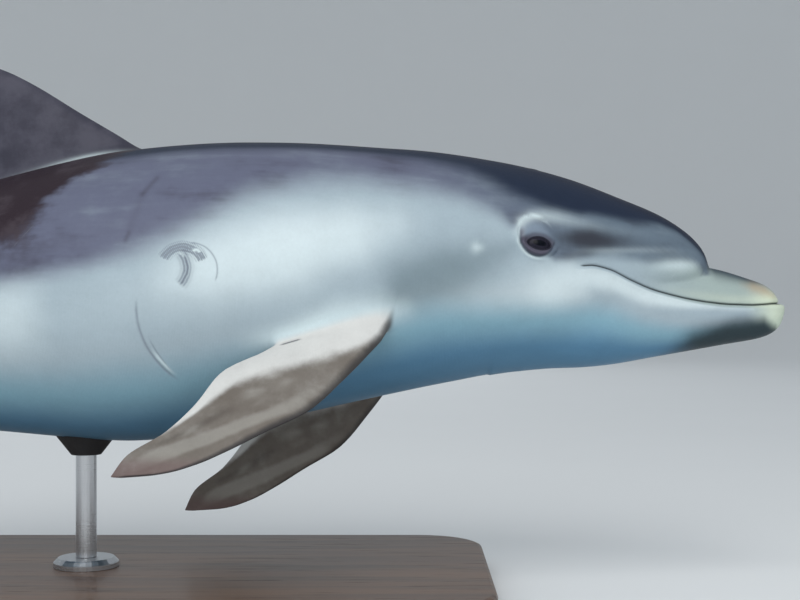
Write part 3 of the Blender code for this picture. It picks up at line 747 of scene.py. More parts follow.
def openEye(shared, plan):
    skin, hand = shared["skin"], plan["hand"]
    _, ids, back, turn = holeEdge(shared, plan)
    a, b = back - body["lookBack"], eyeStretch * (foldTurn(turn) - eyeTurn)
    angle = np.arctan2(b / eye["aim"][1], a / eye["aim"][0])
    c, s = np.cos(angle), np.sin(angle)
    rimA = eye["length"] * c
    rimB = np.where(s > 0, eye["above"], eye["below"]) * np.copysign(np.abs(s) ** eye["point"], s)
    at, along, up, normal = eyeBasis(hand)
    upper, lower = step(-0.15, 0.35, s), step(-0.15, 0.35, -s)
    rim = globeHeight(rimA, rimB)

    def bodyAt(aa, bb):
        turnHere = eyeTurn + bb / eyeStretch
        return body["lookBack"] + aa, turnHere if hand > 0 else math.pi - turnHere

    def flatOf(aa, bb):
        return shared["flatAt"](*shared["place"](*bodyAt(aa, bb)))

    rows, flatRows = [ids], [flatOf(a, b)]
    for r in range(1, eye["rings"] + 1):
        t = 1 - (1 - r / eye["rings"]) ** eye["spread"]
        aa, bb = a + (rimA - a) * t, b + (rimB - b) * t
        away = np.hypot(aa - rimA, bb - rimB)
        here = bodyAt(aa, bb)
        rise = reliefAt(*here)
        rise += upper * (ridge(eye["upperPad"], away) - ridge(eye["upperGroove"], away))
        rise += lower * (ridge(eye["lowerRing"], away) - ridge(eye["lowerGroove"], away))
        for end, tilt in eye["cornerTilt"]:
            past = end * aa - eye["length"]
            line = ridge(eye["cornerFold"], bb - tilt * end * (aa - end * eye["length"]))
            rise -= line * step(-0.0005, 0.0005, past) * (1 - step(*eye["cornerRun"], past))
        points = barePoint(*here) + bareNormal(*here) * rise[:, None]
        out = rim + eye["margin"] + eye["lean"] * away
        lid = at + np.outer(aa, along) + np.outer(bb, up) + np.outer(out, normal)
        w = (1 - step(0.0, eye["leanEnds"], away))[:, None]
        rows.append(skin.add(points * (1 - w) + lid * w, marksFor(here[0], rim=bell(away, eye["rim"]))))
        flatRows.append(flatOf(aa, bb))
    for inset, high in eye["tuck"]:
        size = np.hypot(rimA, rimB)
        aa, bb = rimA * (1 - inset / size), rimB * (1 - inset / size)
        points = at + np.outer(aa, along) + np.outer(bb, up) + np.outer(globeHeight(aa, bb) + high, normal)
        rows.append(skin.add(points, marksFor(body["lookBack"] + aa, rim=1)))
        flatRows.append(flatOf(aa, bb))
    closeLoop(skin, rows, flatRows, at - normal * eye["floor"], body["lookBack"], flatOf)


def closeLoop(skin, rows, flatRows, middle, back, flatOf):
    # joins the closed loops one after another, and shuts the last on a point
    count = len(rows[-1])
    for r in range(len(rows) - 1):
        for k in range(count):
            corners = ((r, k), (r, (k + 1) % count), (r + 1, (k + 1) % count), (r + 1, k))
            skin.quad([rows[ring][at] for ring, at in corners], [flatRows[ring][at] for ring, at in corners])
    top = skin.add([middle], marksFor([back], rim=1))[0]
    middleFlat = flatOf(*np.zeros((2, 1)))[0]
    for k in range(count):
        n = (k + 1) % count
        skin.fan(rows[-1][k], rows[-1][n], top, (flatRows[-1][k], flatRows[-1][n], middleFlat))


blowhole = {
    "back": 0.212, "hole": 0.019, "wide": 0.0115, "gape": 0.0016, "bend": 0.0052, "depth": 0.0034,
    "rings": 14,
    # ridges and grooves: height, place and half width
    "lip": (0.0004, 0.0022, 0.0022), "slit": (0.0006, 0.0, 0.0008), "rim": 0.001,
    "dip": (0.001, 0.0115, 0.004), "dipAcross": (1.0, 0.0, 0.012),
    # the slit's walls: (how far open, how far down)
    "walls": [(0.75, 0.3), (0.5, 0.7), (0.3, 1.0)],
}


def planBlowhole(cutHole):
    reach = float(section(blowhole["back"], math.pi / 2)[0])
    across = blowhole["hole"] / reach
    hole = cutHole(blowhole["back"] - blowhole["hole"], blowhole["back"] + blowhole["hole"],
                   math.pi / 2 - across, math.pi / 2 + across)
    return {"build": openBlowhole, "hole": hole}


def openBlowhole(shared, plan):
    skin = shared["skin"]
    _, ids, back, turn = holeEdge(shared, plan)
    reach = float(section(blowhole["back"], math.pi / 2)[0])
    a, b = back - blowhole["back"], reach * (turn - math.pi / 2)
    angle = np.arctan2(a, b)
    across = blowhole["wide"] * np.cos(angle)
    bend = blowhole["bend"] * (0.5 - np.cos(angle) ** 2)

    def bodyAt(aa, bb):
        return blowhole["back"] + aa, math.pi / 2 + bb / reach

    def flatOf(aa, bb):
        return shared["flatAt"](*shared["place"](*bodyAt(aa, bb)))

    rows, flatRows = [ids], [flatOf(a, b)]
    steps = [(1 - (1 - r / blowhole["rings"]) ** 1.5, 1.0, 0.0) for r in range(1, blowhole["rings"] + 1)]
    steps += [(1.0, *wall) for wall in blowhole["walls"]]
    for t, gape, sunk in steps:
        slitA = bend + blowhole["gape"] * np.sin(angle) * gape
        slitB = across * (0.9 + 0.1 * gape)
        aa, bb = a + (slitA - a) * t, b + (slitB - b) * t
        away = np.hypot(aa - slitA, bb - slitB)
        here = bodyAt(aa, bb)
        rise = reliefAt(*here) + ridge(blowhole["lip"], away) - blowhole["depth"] * sunk
        rise = rise - ridge(blowhole["slit"], away)
        rise = rise - ridge(blowhole["dip"], aa) * ridge(blowhole["dipAcross"], bb)
        points = barePoint(*here) + bareNormal(*here) * rise[:, None]
        rows.append(skin.add(points, marksFor(here[0], rim=bell(away, blowhole["rim"]))))
        flatRows.append(flatOf(aa, bb))
    at = barePoint(blowhole["back"], math.pi / 2) - np.array([0, 0, blowhole["depth"] * 1.1])
    closeLoop(skin, rows, flatRows, at, blowhole["back"], flatOf)


# Where the skin changes tone: (metres behind the tip, degrees up from the axis)
markings = {
    "crownEdge": [(0.06, 58), (0.075, 60), (0.0899, 63), (0.107, 60), (0.128, 51), (0.1525, 43), (0.1766, 38),
                  (0.2025, 37), (0.235, 40), (0.25, 45), (0.27, 53), (0.31, 59), (0.36, 61), (0.42, 61),
                  (0.6, 58), (0.75, 52), (1.0, 44), (1.29, 36)],
    "crownSoft": [(0.06, 9), (0.1, 10), (0.13, 9), (0.16, 7), (0.2, 7), (0.25, 17), (0.31, 14), (0.36, 11),
                  (0.6, 12), (1.29, 12)],
    "capeEdge": [(0.06, 50), (0.0817, 42), (0.1, 34), (0.118, 25), (0.145, 15), (0.17, 7), (0.2, 2),
                 (0.225, 12), (0.245, 26), (0.275, 33), (0.31, 36), (0.36, 38), (0.4, 35), (0.45, 29),
                 (0.5, 14), (0.54, 6), (0.58, 1), (0.68, -2), (0.85, -4), (1.1, -10), (1.29, -14)],
    "capeSoft": [(0.06, 6), (0.1, 8), (0.17, 8), (0.21, 6), (0.25, 12), (0.3, 17), (0.4, 18), (0.46, 16),
                 (0.52, 13), (0.58, 10), (0.66, 10), (0.85, 13), (1.29, 16)],
    # where the painted blue shade under the belly begins, by fold
    "bellyEdge": [(0.0, -50), (0.1, -44), (0.14, -38), (0.2, -35), (0.3, -32), (0.45, -42), (0.6, -46),
                  (1.29, -50)],
    "chinEdge": [(0.0, -120), (0.004, -110), (0.01, -62), (0.02, -33), (0.035, -29), (0.05, -32),
                 (0.065, -39), (0.08, -46), (0.1, -62), (0.12, -85)],
    # where the dark brown patch under and behind the dorsal fin begins, by fold
    "saddleFront": [(-25, 0.7), (-3, 0.64), (10, 0.631), (25, 0.623), (37, 0.612), (45, 0.594), (54, 0.579),
                    (63, 0.567), (75, 0.552), (90, 0.544)],
    "saddleSoft": (0.014, 0.034), "saddleFarSide": 0.06, "saddleFold": 44, "saddleRear": (0.72, 1.22),
    # trails: (back, height, half width, strength)
    "melonFront": [(0.06, 0.0325, 0.0022, 0.9), (0.0625, 0.04, 0.0036, 0.9), (0.068, 0.05, 0.0045, 0.9),
                   (0.078, 0.06, 0.005, 0.8), (0.095, 0.072, 0.006, 0.4)],
    "stripe": [(0.203, 0.043, 0.006, 0.25), (0.193, 0.0435, 0.0075, 0.55), (0.18, 0.044, 0.01, 0.92),
               (0.168, 0.044, 0.0115, 1.0), (0.154, 0.043, 0.01, 0.8), (0.138, 0.0425, 0.008, 0.45),
               (0.118, 0.042, 0.007, 0.25), (0.095, 0.04, 0.006, 0.0)],
    # painted highlight along the brow, over the eye
    "brow": [(0.23, 0.04, 0.0022, 0.4), (0.2305, 0.0475, 0.0042, 0.7), (0.2265, 0.0555, 0.0052, 0.9),
             (0.218, 0.061, 0.0055, 0.85), (0.208, 0.0625, 0.0056, 0.75), (0.196, 0.0615, 0.0058, 0.62),
             (0.1775, 0.0585, 0.005, 0.3), (0.1535, 0.0545, 0.004, 0.1), (0.13, 0.052, 0.0034, 0.04),
             (0.1, 0.051, 0.003, 0.0)],
    "underEye": [(0.195, 0.028, 0.003, 0.0), (0.175, 0.0334, 0.0028, 0.12), (0.158, 0.0346, 0.0026, 0.3),
                 (0.13, 0.0366, 0.0026, 0.3), (0.1, 0.038, 0.0026, 0.15), (0.085, 0.0382, 0.0026, 0.0)],
    # painted shade along the melon's foot
    "melonFoot": [(0.175, 0.027, 0.0035, 0.0), (0.16, 0.0285, 0.004, 0.4), (0.14, 0.029, 0.0042, 0.6),
                  (0.11, 0.032, 0.0042, 0.7), (0.09, 0.0345, 0.0045, 0.8), (0.075, 0.037, 0.0045, 0.5)],
    # painted highlight on the cheek
    "cheek": [(0.115, 0.024, 0.004, 0.2), (0.101, 0.0255, 0.0045, 0.8), (0.09, 0.0262, 0.0045, 1.0),
              (0.08, 0.027, 0.004, 0.7), (0.07, 0.0285, 0.003, 0.0)],
    "beakTip": [(0.032, 0.0125, 0.0045, 0.3), (0.024, 0.0112, 0.0058, 0.9), (0.015, 0.0085, 0.0058, 1.0),
                (0.008, 0.005, 0.0045, 0.7)],
    "earSpot": [(0.265, 0.0322, 0.005, 0.8), (0.263, 0.032, 0.004, 0.6)],
    # painted highlight along the lower jaw and behind the gape
    "jawShine": [(0.03, -0.008, 0.0036, 0.4), (0.06, -0.007, 0.0038, 0.7), (0.09, -0.0045, 0.006, 0.95),
                 (0.12, 0.0, 0.01, 1.0), (0.145, 0.009, 0.01, 1.0), (0.17, 0.013, 0.013, 0.8),
                 (0.185, 0.008, 0.02, 0.8), (0.205, -0.002, 0.024, 0.85), (0.225, -0.01, 0.026, 0.6),
                 (0.26, -0.022, 0.028, 0.5), (0.3, -0.028, 0.028, 0.3)],
    # painted highlight along the flank
    "flankShine": [(0.29, 0.06, 0.018, 0.0), (0.335, 0.048, 0.024, 0.45), (0.37, 0.038, 0.03, 0.8),
                   (0.42, 0.024, 0.036, 0.95), (0.48, 0.008, 0.034, 0.8), (0.53, -0.012, 0.03, 0.35),
                   (0.6, -0.024, 0.032, 0.2), (0.64, -0.028, 0.038, 0.6), (0.85, -0.034, 0.035, 0.5),
                   (1.1, -0.04, 0.02, 0.2)],
    # painted shade on the shoulder
    "shoulder": [(0.238, 0.033, 0.012, 0.5), (0.262, 0.022, 0.022, 0.7), (0.29, 0.008, 0.028, 1.0),
                 (0.318, -0.003, 0.026, 1.0), (0.34, -0.014, 0.018, 0.5)],
    # painted highlight along the dorsal fin's foot
    "finFoot": [(0.555, 0.1375, 0.002, 0.0), (0.57, 0.135, 0.003, 0.4), (0.592, 0.1305, 0.0046, 1.0),
                (0.63, 0.1225, 0.0046, 1.0), (0.68, 0.108, 0.0036, 0.4), (0.72, 0.095, 0.002, 0.0)],
    "armpit": [(0.325, -0.019, 0.009, 0.4), (0.345, -0.022, 0.012, 0.8), (0.375, -0.026, 0.012, 0.8),
               (0.405, -0.037, 0.009, 1.0), (0.425, -0.043, 0.008, 0.8), (0.45, -0.047, 0.007, 0.2)],
    # on the flippers, measured over this chord and span: how far out the white reaches, from the leading edge
    "flipperChord": 0.07, "flipperSpan": (-0.04, 0.193),
    "whiteReach": [(0.0, 0.019), (0.006, 0.028), (0.013, 0.041), (0.031, 0.053), (0.046, 0.06),
                   (0.055, 0.069), (0.0625, 0.088), (0.066, 0.105), (0.07, 0.112)],
    # and trails: (span, distance from the leading edge, half width, strength)
    "flipperPale": [(0.07, 0.008, 0.007, 0.3), (0.095, 0.013, 0.011, 0.8), (0.12, 0.027, 0.013, 1.0),
                    (0.138, 0.044, 0.014, 1.0)],
    "flipperSpots": [[(0.0773, 0.0412, 0.0042, 1.0), (0.0765, 0.038, 0.0034, 0.9)],
                     [(0.0685, 0.0265, 0.0038, 1.0), (0.07, 0.0285, 0.003, 0.8)],
                     [(0.1103, 0.0522, 0.004, 0.9), (0.114, 0.05, 0.0034, 0.8)],
                     [(0.085, 0.03, 0.0026, 0.5), (0.087, 0.032, 0.0022, 0.5)]],
    "flipperBrown": [(0.096, 0.046, 0.006, 0.6), (0.108, 0.05, 0.005, 1.0), (0.122, 0.057, 0.005, 0.6)],
}


def trail(points, back, height):
    # how strongly a place lies on a soft trail through the points
    found = np.zeros(np.shape(back))
    for (b0, h0, w0, s0), (b1, h1, w1, s1) in zip(points, points[1:]):
        length = (b1 - b0) ** 2 + (h1 - h0) ** 2
        t = np.clip(((back - b0) * (b1 - b0) + (height - h0) * (h1 - h0)) / length, 0, 1)
        away = np.hypot(back - b0 - t * (b1 - b0), height - h0 - t * (h1 - h0))
        found = np.maximum(found, (s0 + (s1 - s0) * t) * np.exp(-(away / (w0 + (w1 - w0) * t)) ** 2))
    return found


def alongBody(points, back):
    return np.interp(back, [p[0] for p in points], [p[1] for p in points])


def paintMasks(marks, points):
    back, y, z = marks[:, 0], points[:, 1], points[:, 2]
    height = z - axisLine(back)
    fold = np.degrees(np.arctan2(height, np.abs(y)))
    edge = {name: alongBody(markings[name], back) for name in
            ("crownEdge", "crownSoft", "capeEdge", "capeSoft", "bellyEdge", "chinEdge")}
    soft = {name: trail(markings[name], back, z) for name in
            ("melonFront", "stripe", "brow", "underEye", "melonFoot", "cheek", "beakTip", "earSpot",
             "jawShine", "flankShine", "shoulder", "finFoot", "armpit")}
    farSide = markings["saddleFarSide"] * step(-0.02, 0.03, y)
    past = back - alongBody(markings["saddleFront"], fold)
    lead, reach = markings["saddleSoft"]
    saddle = np.clip((past + lead + farSide) / (reach + 2 * farSide), 0, 1)
    saddle = saddle * step(0, markings["saddleFold"], fold + 12 * step(0.7, 1.2, back))
    saddle = saddle * (1 - step(*markings["saddleRear"], back))
    onMelon = step(0.057, 0.068, back)
    crown = step(-edge["crownSoft"], edge["crownSoft"], fold - edge["crownEdge"])
    # past one, the crown marks painted shade along the top of the back
    crown = np.maximum(crown + step(58, 78, fold), 1.4 * soft["melonFront"]) * onMelon
    cape = step(-edge["capeSoft"], edge["capeSoft"], fold - edge["capeEdge"]) * onMelon
    # the belly's blue tones are painted shade, deepening downwards from that edge
    belly = np.clip((edge["bellyEdge"] + 14 - fold) / 42, 0, 1)
    chin = step(-26, 26, edge["chinEdge"] - fold) * (1 - step(0.06, 0.13, back))
    lift = np.where(back < 0.19, height, 0.05)
    onLower = 1 - step(-0.004, -0.001, lift)
    beak = (1 - step(0.05, 0.15, back)) * (1 - onLower)
    beakTopShade = step(26, 80, fold) * (1 - step(0.056, 0.068, back)) * step(0.004, 0.026, back)
    # round the eye: the pad above it, the dark lower lid, and the painted highlights on the folds that frame
    # them
    ea, eb = back - body["lookBack"], eyeStretch * (np.radians(fold) - eyeTurn)
    ringA, ringB = orbitPlace(ea, eb)
    ring = np.hypot(ringA, ringB)
    inside = 1 - step(0.9, 1.04, ring)
    frontOpen = 1 - step(-0.006, 0.015, -ea)
    under = 1 - step(-0.3, 0.1, ringB)
    rearLid = 0.8 * step(0.5, 1.0, ringA) * (1 - step(0.0, 0.7, ringB))
    lowerLid = inside * np.maximum(under, rearLid) * (1 - step(0.004, 0.018, -ea))
    lidLine = bell(ring - 0.97, 0.055) * under * (1 - step(0.01, 0.016, -ea))
    upperPad = (1 - step(0.45, 1.03, ring)) * (1 - under) * frontOpen
    browLid = bell(np.hypot(ea / 0.0105, (eb - 0.0004) / 0.0062) - 1.0, 0.2) * step(-0.002, 0.003, eb)
    upperArm = step(0.1, 0.6, ringB) * step(-1.0, 0.1, ringA)
    lowerArm = step(0.05, 0.45, -ringB) * step(-0.45, 0.3, ringA)
    # painted highlight on the fold round the eye
    crescentHighlight = bell(ring - 1.1, 0.08) * np.maximum(upperArm, lowerArm)
    # on the flippers, by span and distance from the leading edge
    root, length = markings["flipperSpan"]
    span = marks[:, markOf["share"]] * length + root
    chord = marks[:, markOf["chord"]] * markings["flipperChord"]
    spots = np.max([trail(points, span, chord) for points in markings["flipperSpots"]], axis=0)
    return {
        # the belly part places the painted blue shade under the body
        "coat": (crown, cape, belly),
        # with the painted shade along the melon's foot
        "face": (soft["stripe"] * (1 - 0.8 * upperPad), chin, soft["melonFoot"] * (1 - onLower)),
        # painted highlights on the brow, the cheek and the dorsal fin's foot, with the pale marks under the
        # eye, at the ear and behind the flipper
        "glow": (np.maximum(soft["brow"], soft["underEye"]), np.maximum(soft["cheek"], soft["earSpot"]),
                 np.maximum(soft["armpit"], soft["finFoot"])),
        # painted highlights on the jaw and the flank, and the beak's own tone
        "shine": (soft["jawShine"] * np.maximum(onLower, step(0.16, 0.19, back)), soft["flankShine"], beak),
        # painted shade on the shoulder, the dark patch under the dorsal fin, and the beak's dark top
        "shade": (soft["shoulder"], saddle, beakTopShade),
        "mouth": (lift, soft["beakTip"] * (1 - onLower), step(0.14, 0.34, back)),
        # the last part is the painted highlight on the fold round the eye
        "lids": (lowerLid, upperPad, crescentHighlight),
        "lidEdge": (lidLine, browLid, trail(markings["flipperBrown"], span, chord)),
        "blade": (step(-0.012, 0.016, alongBody(markings["whiteReach"], chord) - span),
                  trail(markings["flipperPale"], span, chord), spots),
    }


def meshFrom(skin):
    mesh = bpy.data.meshes.new("dolphin_skin")
    points = np.array(skin.points)
    mesh.from_pydata(points.tolist(), [], skin.faces)
    flat = mesh.uv_layers.new(name="OFBake")
    flat.data.foreach_set("uv", np.array(skin.flats, np.float32).reshape(-1))
    marks = np.array(skin.marks)
    vectors = {"place": (marks[:, 0], points[:, 1], points[:, 2]), "kinds": marks[:, 1:4].T,
               "fin": marks[:, 4:7].T, **paintMasks(marks, points)}
    for name, columns in vectors.items():
        addVectors(mesh, name, np.stack(columns, -1))
    made = mesh.attributes.new("rim", "FLOAT", "POINT")
    made.data.foreach_set("value", marks[:, markOf["rim"]].astype(np.float32))
    turnOutwards(mesh, sorted(set(skin.soften)))
    return mesh


skin = buildSkin()
skinMesh = meshFrom(skin)
skinMesh.transform(bodyFrame)
skinObject = addObject("dolphin_skin", skinMesh)
print("skin:", len(skinObject.data.vertices), "points,", sum(len(f) - 2 for f in skin.faces), "triangles")
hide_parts("head", "upper_jaw", "lower_jaw", "trunk", "tail_stock", "dorsal_fin",
            "flipper_right", "flipper_left", "fluke_right", "fluke_left")
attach(skinObject, "root")


class Value:
    # a socket in a sum: each operator adds its Math node
    def __init__(self, finish, link):
        self.finish, self.link = finish, link

    def math(self, operation, first, second):
        return self.finish.node("ShaderNodeMath", {"operation": operation}, {0: first, 1: second})

    def __add__(self, other):
        return self.math("ADD", self, other)

    def __radd__(self, other):
        return self.math("ADD", other, self)

    def __sub__(self, other):
        return self.math("SUBTRACT", self, other)

    def __rsub__(self, other):
        return self.math("SUBTRACT", other, self)

    def __mul__(self, other):
        return self.math("MULTIPLY", self, other)

    def __rmul__(self, other):
        return self.math("MULTIPLY", other, self)

    def __pow__(self, other):
        return self.math("POWER", self, other)


class Finish:
    # one material, built from expressions
    def __init__(self, name):
        self.material = bpy.data.materials.new(name)
        self.material.use_nodes = True
        self.tree = self.material.node_tree
        self.shader = self.tree.nodes["Principled BSDF"]

    def node(self, kind, settings=None, inputs=None, output=0):
        made = self.tree.nodes.new(kind)
        for key, value in (settings or {}).items():
            setattr(made, key, value)
        for key, value in (inputs or {}).items():
            self.feed(made.inputs[key], value)
        return Value(self, made.outputs[output])

    def feed(self, socket, value):
        if isinstance(value, Value):
            self.tree.links.new(value.link, socket)
        elif isinstance(value, tuple) and len(value) == 3 and socket.type == "RGBA":
            socket.default_value = (*value, 1.0)
        else:
            socket.default_value = value

    def set(self, **inputs):
        for key, value in inputs.items():
            self.feed(self.shader.inputs[key.replace("_", " ")], value)

    def attribute(self, name):
        return self.node("ShaderNodeAttribute", {"attribute_name": name}, output="Vector")

    def amount(self, name):
        return self.node("ShaderNodeAttribute", {"attribute_name": name}, output="Fac")

    def parts(self, vector):
        split = self.node("ShaderNodeSeparateXYZ", None, {0: vector}).link.node
        return [Value(self, out) for out in split.outputs]

    def join(self, x, y, z):
        return self.node("ShaderNodeCombineXYZ", None, {0: x, 1: y, 2: z})

    def inObject(self):
        return self.node("ShaderNodeTexCoord", output="Object")

    def noise(self, at, scale, detail=3.0, roughness=0.55):
        return self.node("ShaderNodeTexNoise", None,
                         {"Vector": at, "Scale": scale, "Detail": detail, "Roughness": roughness})

    def bands(self, at, scale, distortion, detail=1.0, detailScale=1.0, **settings):
        return self.node("ShaderNodeTexWave", {"wave_type": "BANDS", "bands_direction": "X", **settings},
                         {"Vector": at, "Scale": scale, "Distortion": distortion, "Detail": detail,
                          "Detail Scale": detailScale})

    def between(self, low, high, value):
        return self.node("ShaderNodeMapRange", {"interpolation_type": "SMOOTHSTEP"},
                         {"Value": value, "From Min": low, "From Max": high})

    def length(self, vector):
        return self.node("ShaderNodeVectorMath", {"operation": "LENGTH"}, {0: vector}, "Value")

    def hump(self, value, width):
        square = (value * (1 / width)) ** 2.0
        return self.node("ShaderNodeMath", {"operation": "EXPONENT"}, {0: square * -1.0})

    def blend(self, factor, first, second, how="MIX"):
        settings = {"data_type": "RGBA", "blend_type": how, "clamp_factor": True}
        return self.node("ShaderNodeMix", settings, {0: factor, 6: first, 7: second}, 2)

    def paint(self, colour, palette, *coats):
        # lays the named tones over a colour, one after another
        for amount, tone in coats:
            colour = self.blend(amount, colour, palette[tone])
        return colour

    def shaded(self, colour, amount):
        return self.blend(1.0, colour, self.join(amount, amount, amount), "MULTIPLY")

    def bump(self, height, distance, strength):
        return self.node("ShaderNodeBump", None,
                         {"Height": height, "Distance": distance, "Strength": strength})


tones = {
    # the ridge tone is painted shade along the top of the back
    "ridge": (0.007, 0.011, 0.028), "crown": (0.015, 0.023, 0.044), "cape": (0.108, 0.118, 0.172),
    # the shine tone is a painted highlight
    "melon": (0.112, 0.148, 0.188), "flank": (0.31, 0.38, 0.425), "shine": (0.545, 0.625, 0.65),
    # painted shade: the shoulder tone and both belly tones
    "shoulder": (0.18, 0.235, 0.265), "lowBelly": (0.2, 0.35, 0.43), "deepBelly": (0.095, 0.215, 0.335),
    # the tone for the melon's foot is painted shade
    "stripe": (0.036, 0.04, 0.052), "melonFoot": (0.16, 0.21, 0.25), "pale": (0.6, 0.7, 0.72),
    "beakTop": (0.036, 0.056, 0.072), "beak": (0.31, 0.375, 0.35), "lip": (0.46, 0.52, 0.44),
    "peach": (0.44, 0.29, 0.15), "cream": (0.58, 0.65, 0.51), "chin": (0.032, 0.048, 0.056),
    "mouthLine": (0.015, 0.02, 0.022), "saddle": (0.026, 0.018, 0.024), "saddlePale": (0.062, 0.05, 0.06),
    "dorsal": (0.038, 0.038, 0.054), "dorsalPale": (0.062, 0.061, 0.082), "flipper": (0.136, 0.118, 0.103),
    "flipperBrown": (0.06, 0.05, 0.044), "flipperPale": (0.245, 0.232, 0.21),
    "flipperWhite": (0.56, 0.56, 0.545), "flipperTip": (0.14, 0.1, 0.096),
    # the tone for the flippers' leading edge is painted shadow
    "flipperEdge": (0.042, 0.04, 0.042), "flukeTop": (0.05, 0.054, 0.075),
    "flukeUnder": (0.2, 0.24, 0.27), "rimDark": (0.02, 0.02, 0.03), "lidDark": (0.08, 0.076, 0.105),
    "lidPad": (0.19, 0.24, 0.3), "lidLine": (0.028, 0.032, 0.05), "scuff": (0.17, 0.2, 0.24),
}
smallMarks = {
    # arcs: (back, height) of the middle, radius, half width, first and last turn, which way it curves
    "band": ((0.4996, 0.008), 0.017, 0.0046, 0.3, 2.75, 1.0),
    "tail": ((0.5152, 0.0075), 0.019, 0.004, -0.8, 0.85, 1.0),
    "outer": ((0.4941, 0.0066), 0.0222, 0.0007, -0.45, 1.6, 1.0),
    # two painted highlights on the scuff
    "bigSpot": ((0.489, 0.02), 0.0028, 0.0014, 0.2, 2.6, 1.0),
    "smallSpot": ((0.5005, 0.0185), 0.0012, 0.0012, -1.0, 2.8, 1.0),
    "frontFold": ((0.4723, -0.023), 0.0633, 0.0011, -0.15, 1.05, -1.0),
    "rearFold": ((0.4461, -0.0111), 0.0875, 0.0008, 0.36, 0.8, -1.0),
    # a painted highlight between the birth folds
    "foldShine": ((0.4723, -0.023), 0.0607, 0.0012, 0.5, 1.0, -1.0),
    # strokes: start, end and half width
    "scores": [((0.524, 0.091), (0.5374, 0.0694), 0.0024), ((0.5425, 0.04), (0.547, 0.028), 0.0022)],
    "faintScore": ((0.535, 0.074), (0.544, 0.036), 0.0034),
    "crease": ((0.4225, -0.0497), (0.405, -0.0443), 0.0009),
    "slits": [((0.815, 0.0), (0.86, 0.0), 0.0011), ((0.64, 0.0), (0.652, 0.0), 0.0016),
              ((0.828, 0.0085), (0.846, 0.0085), 0.0007), ((0.828, -0.0085), (0.846, -0.0085), 0.0007)],
}


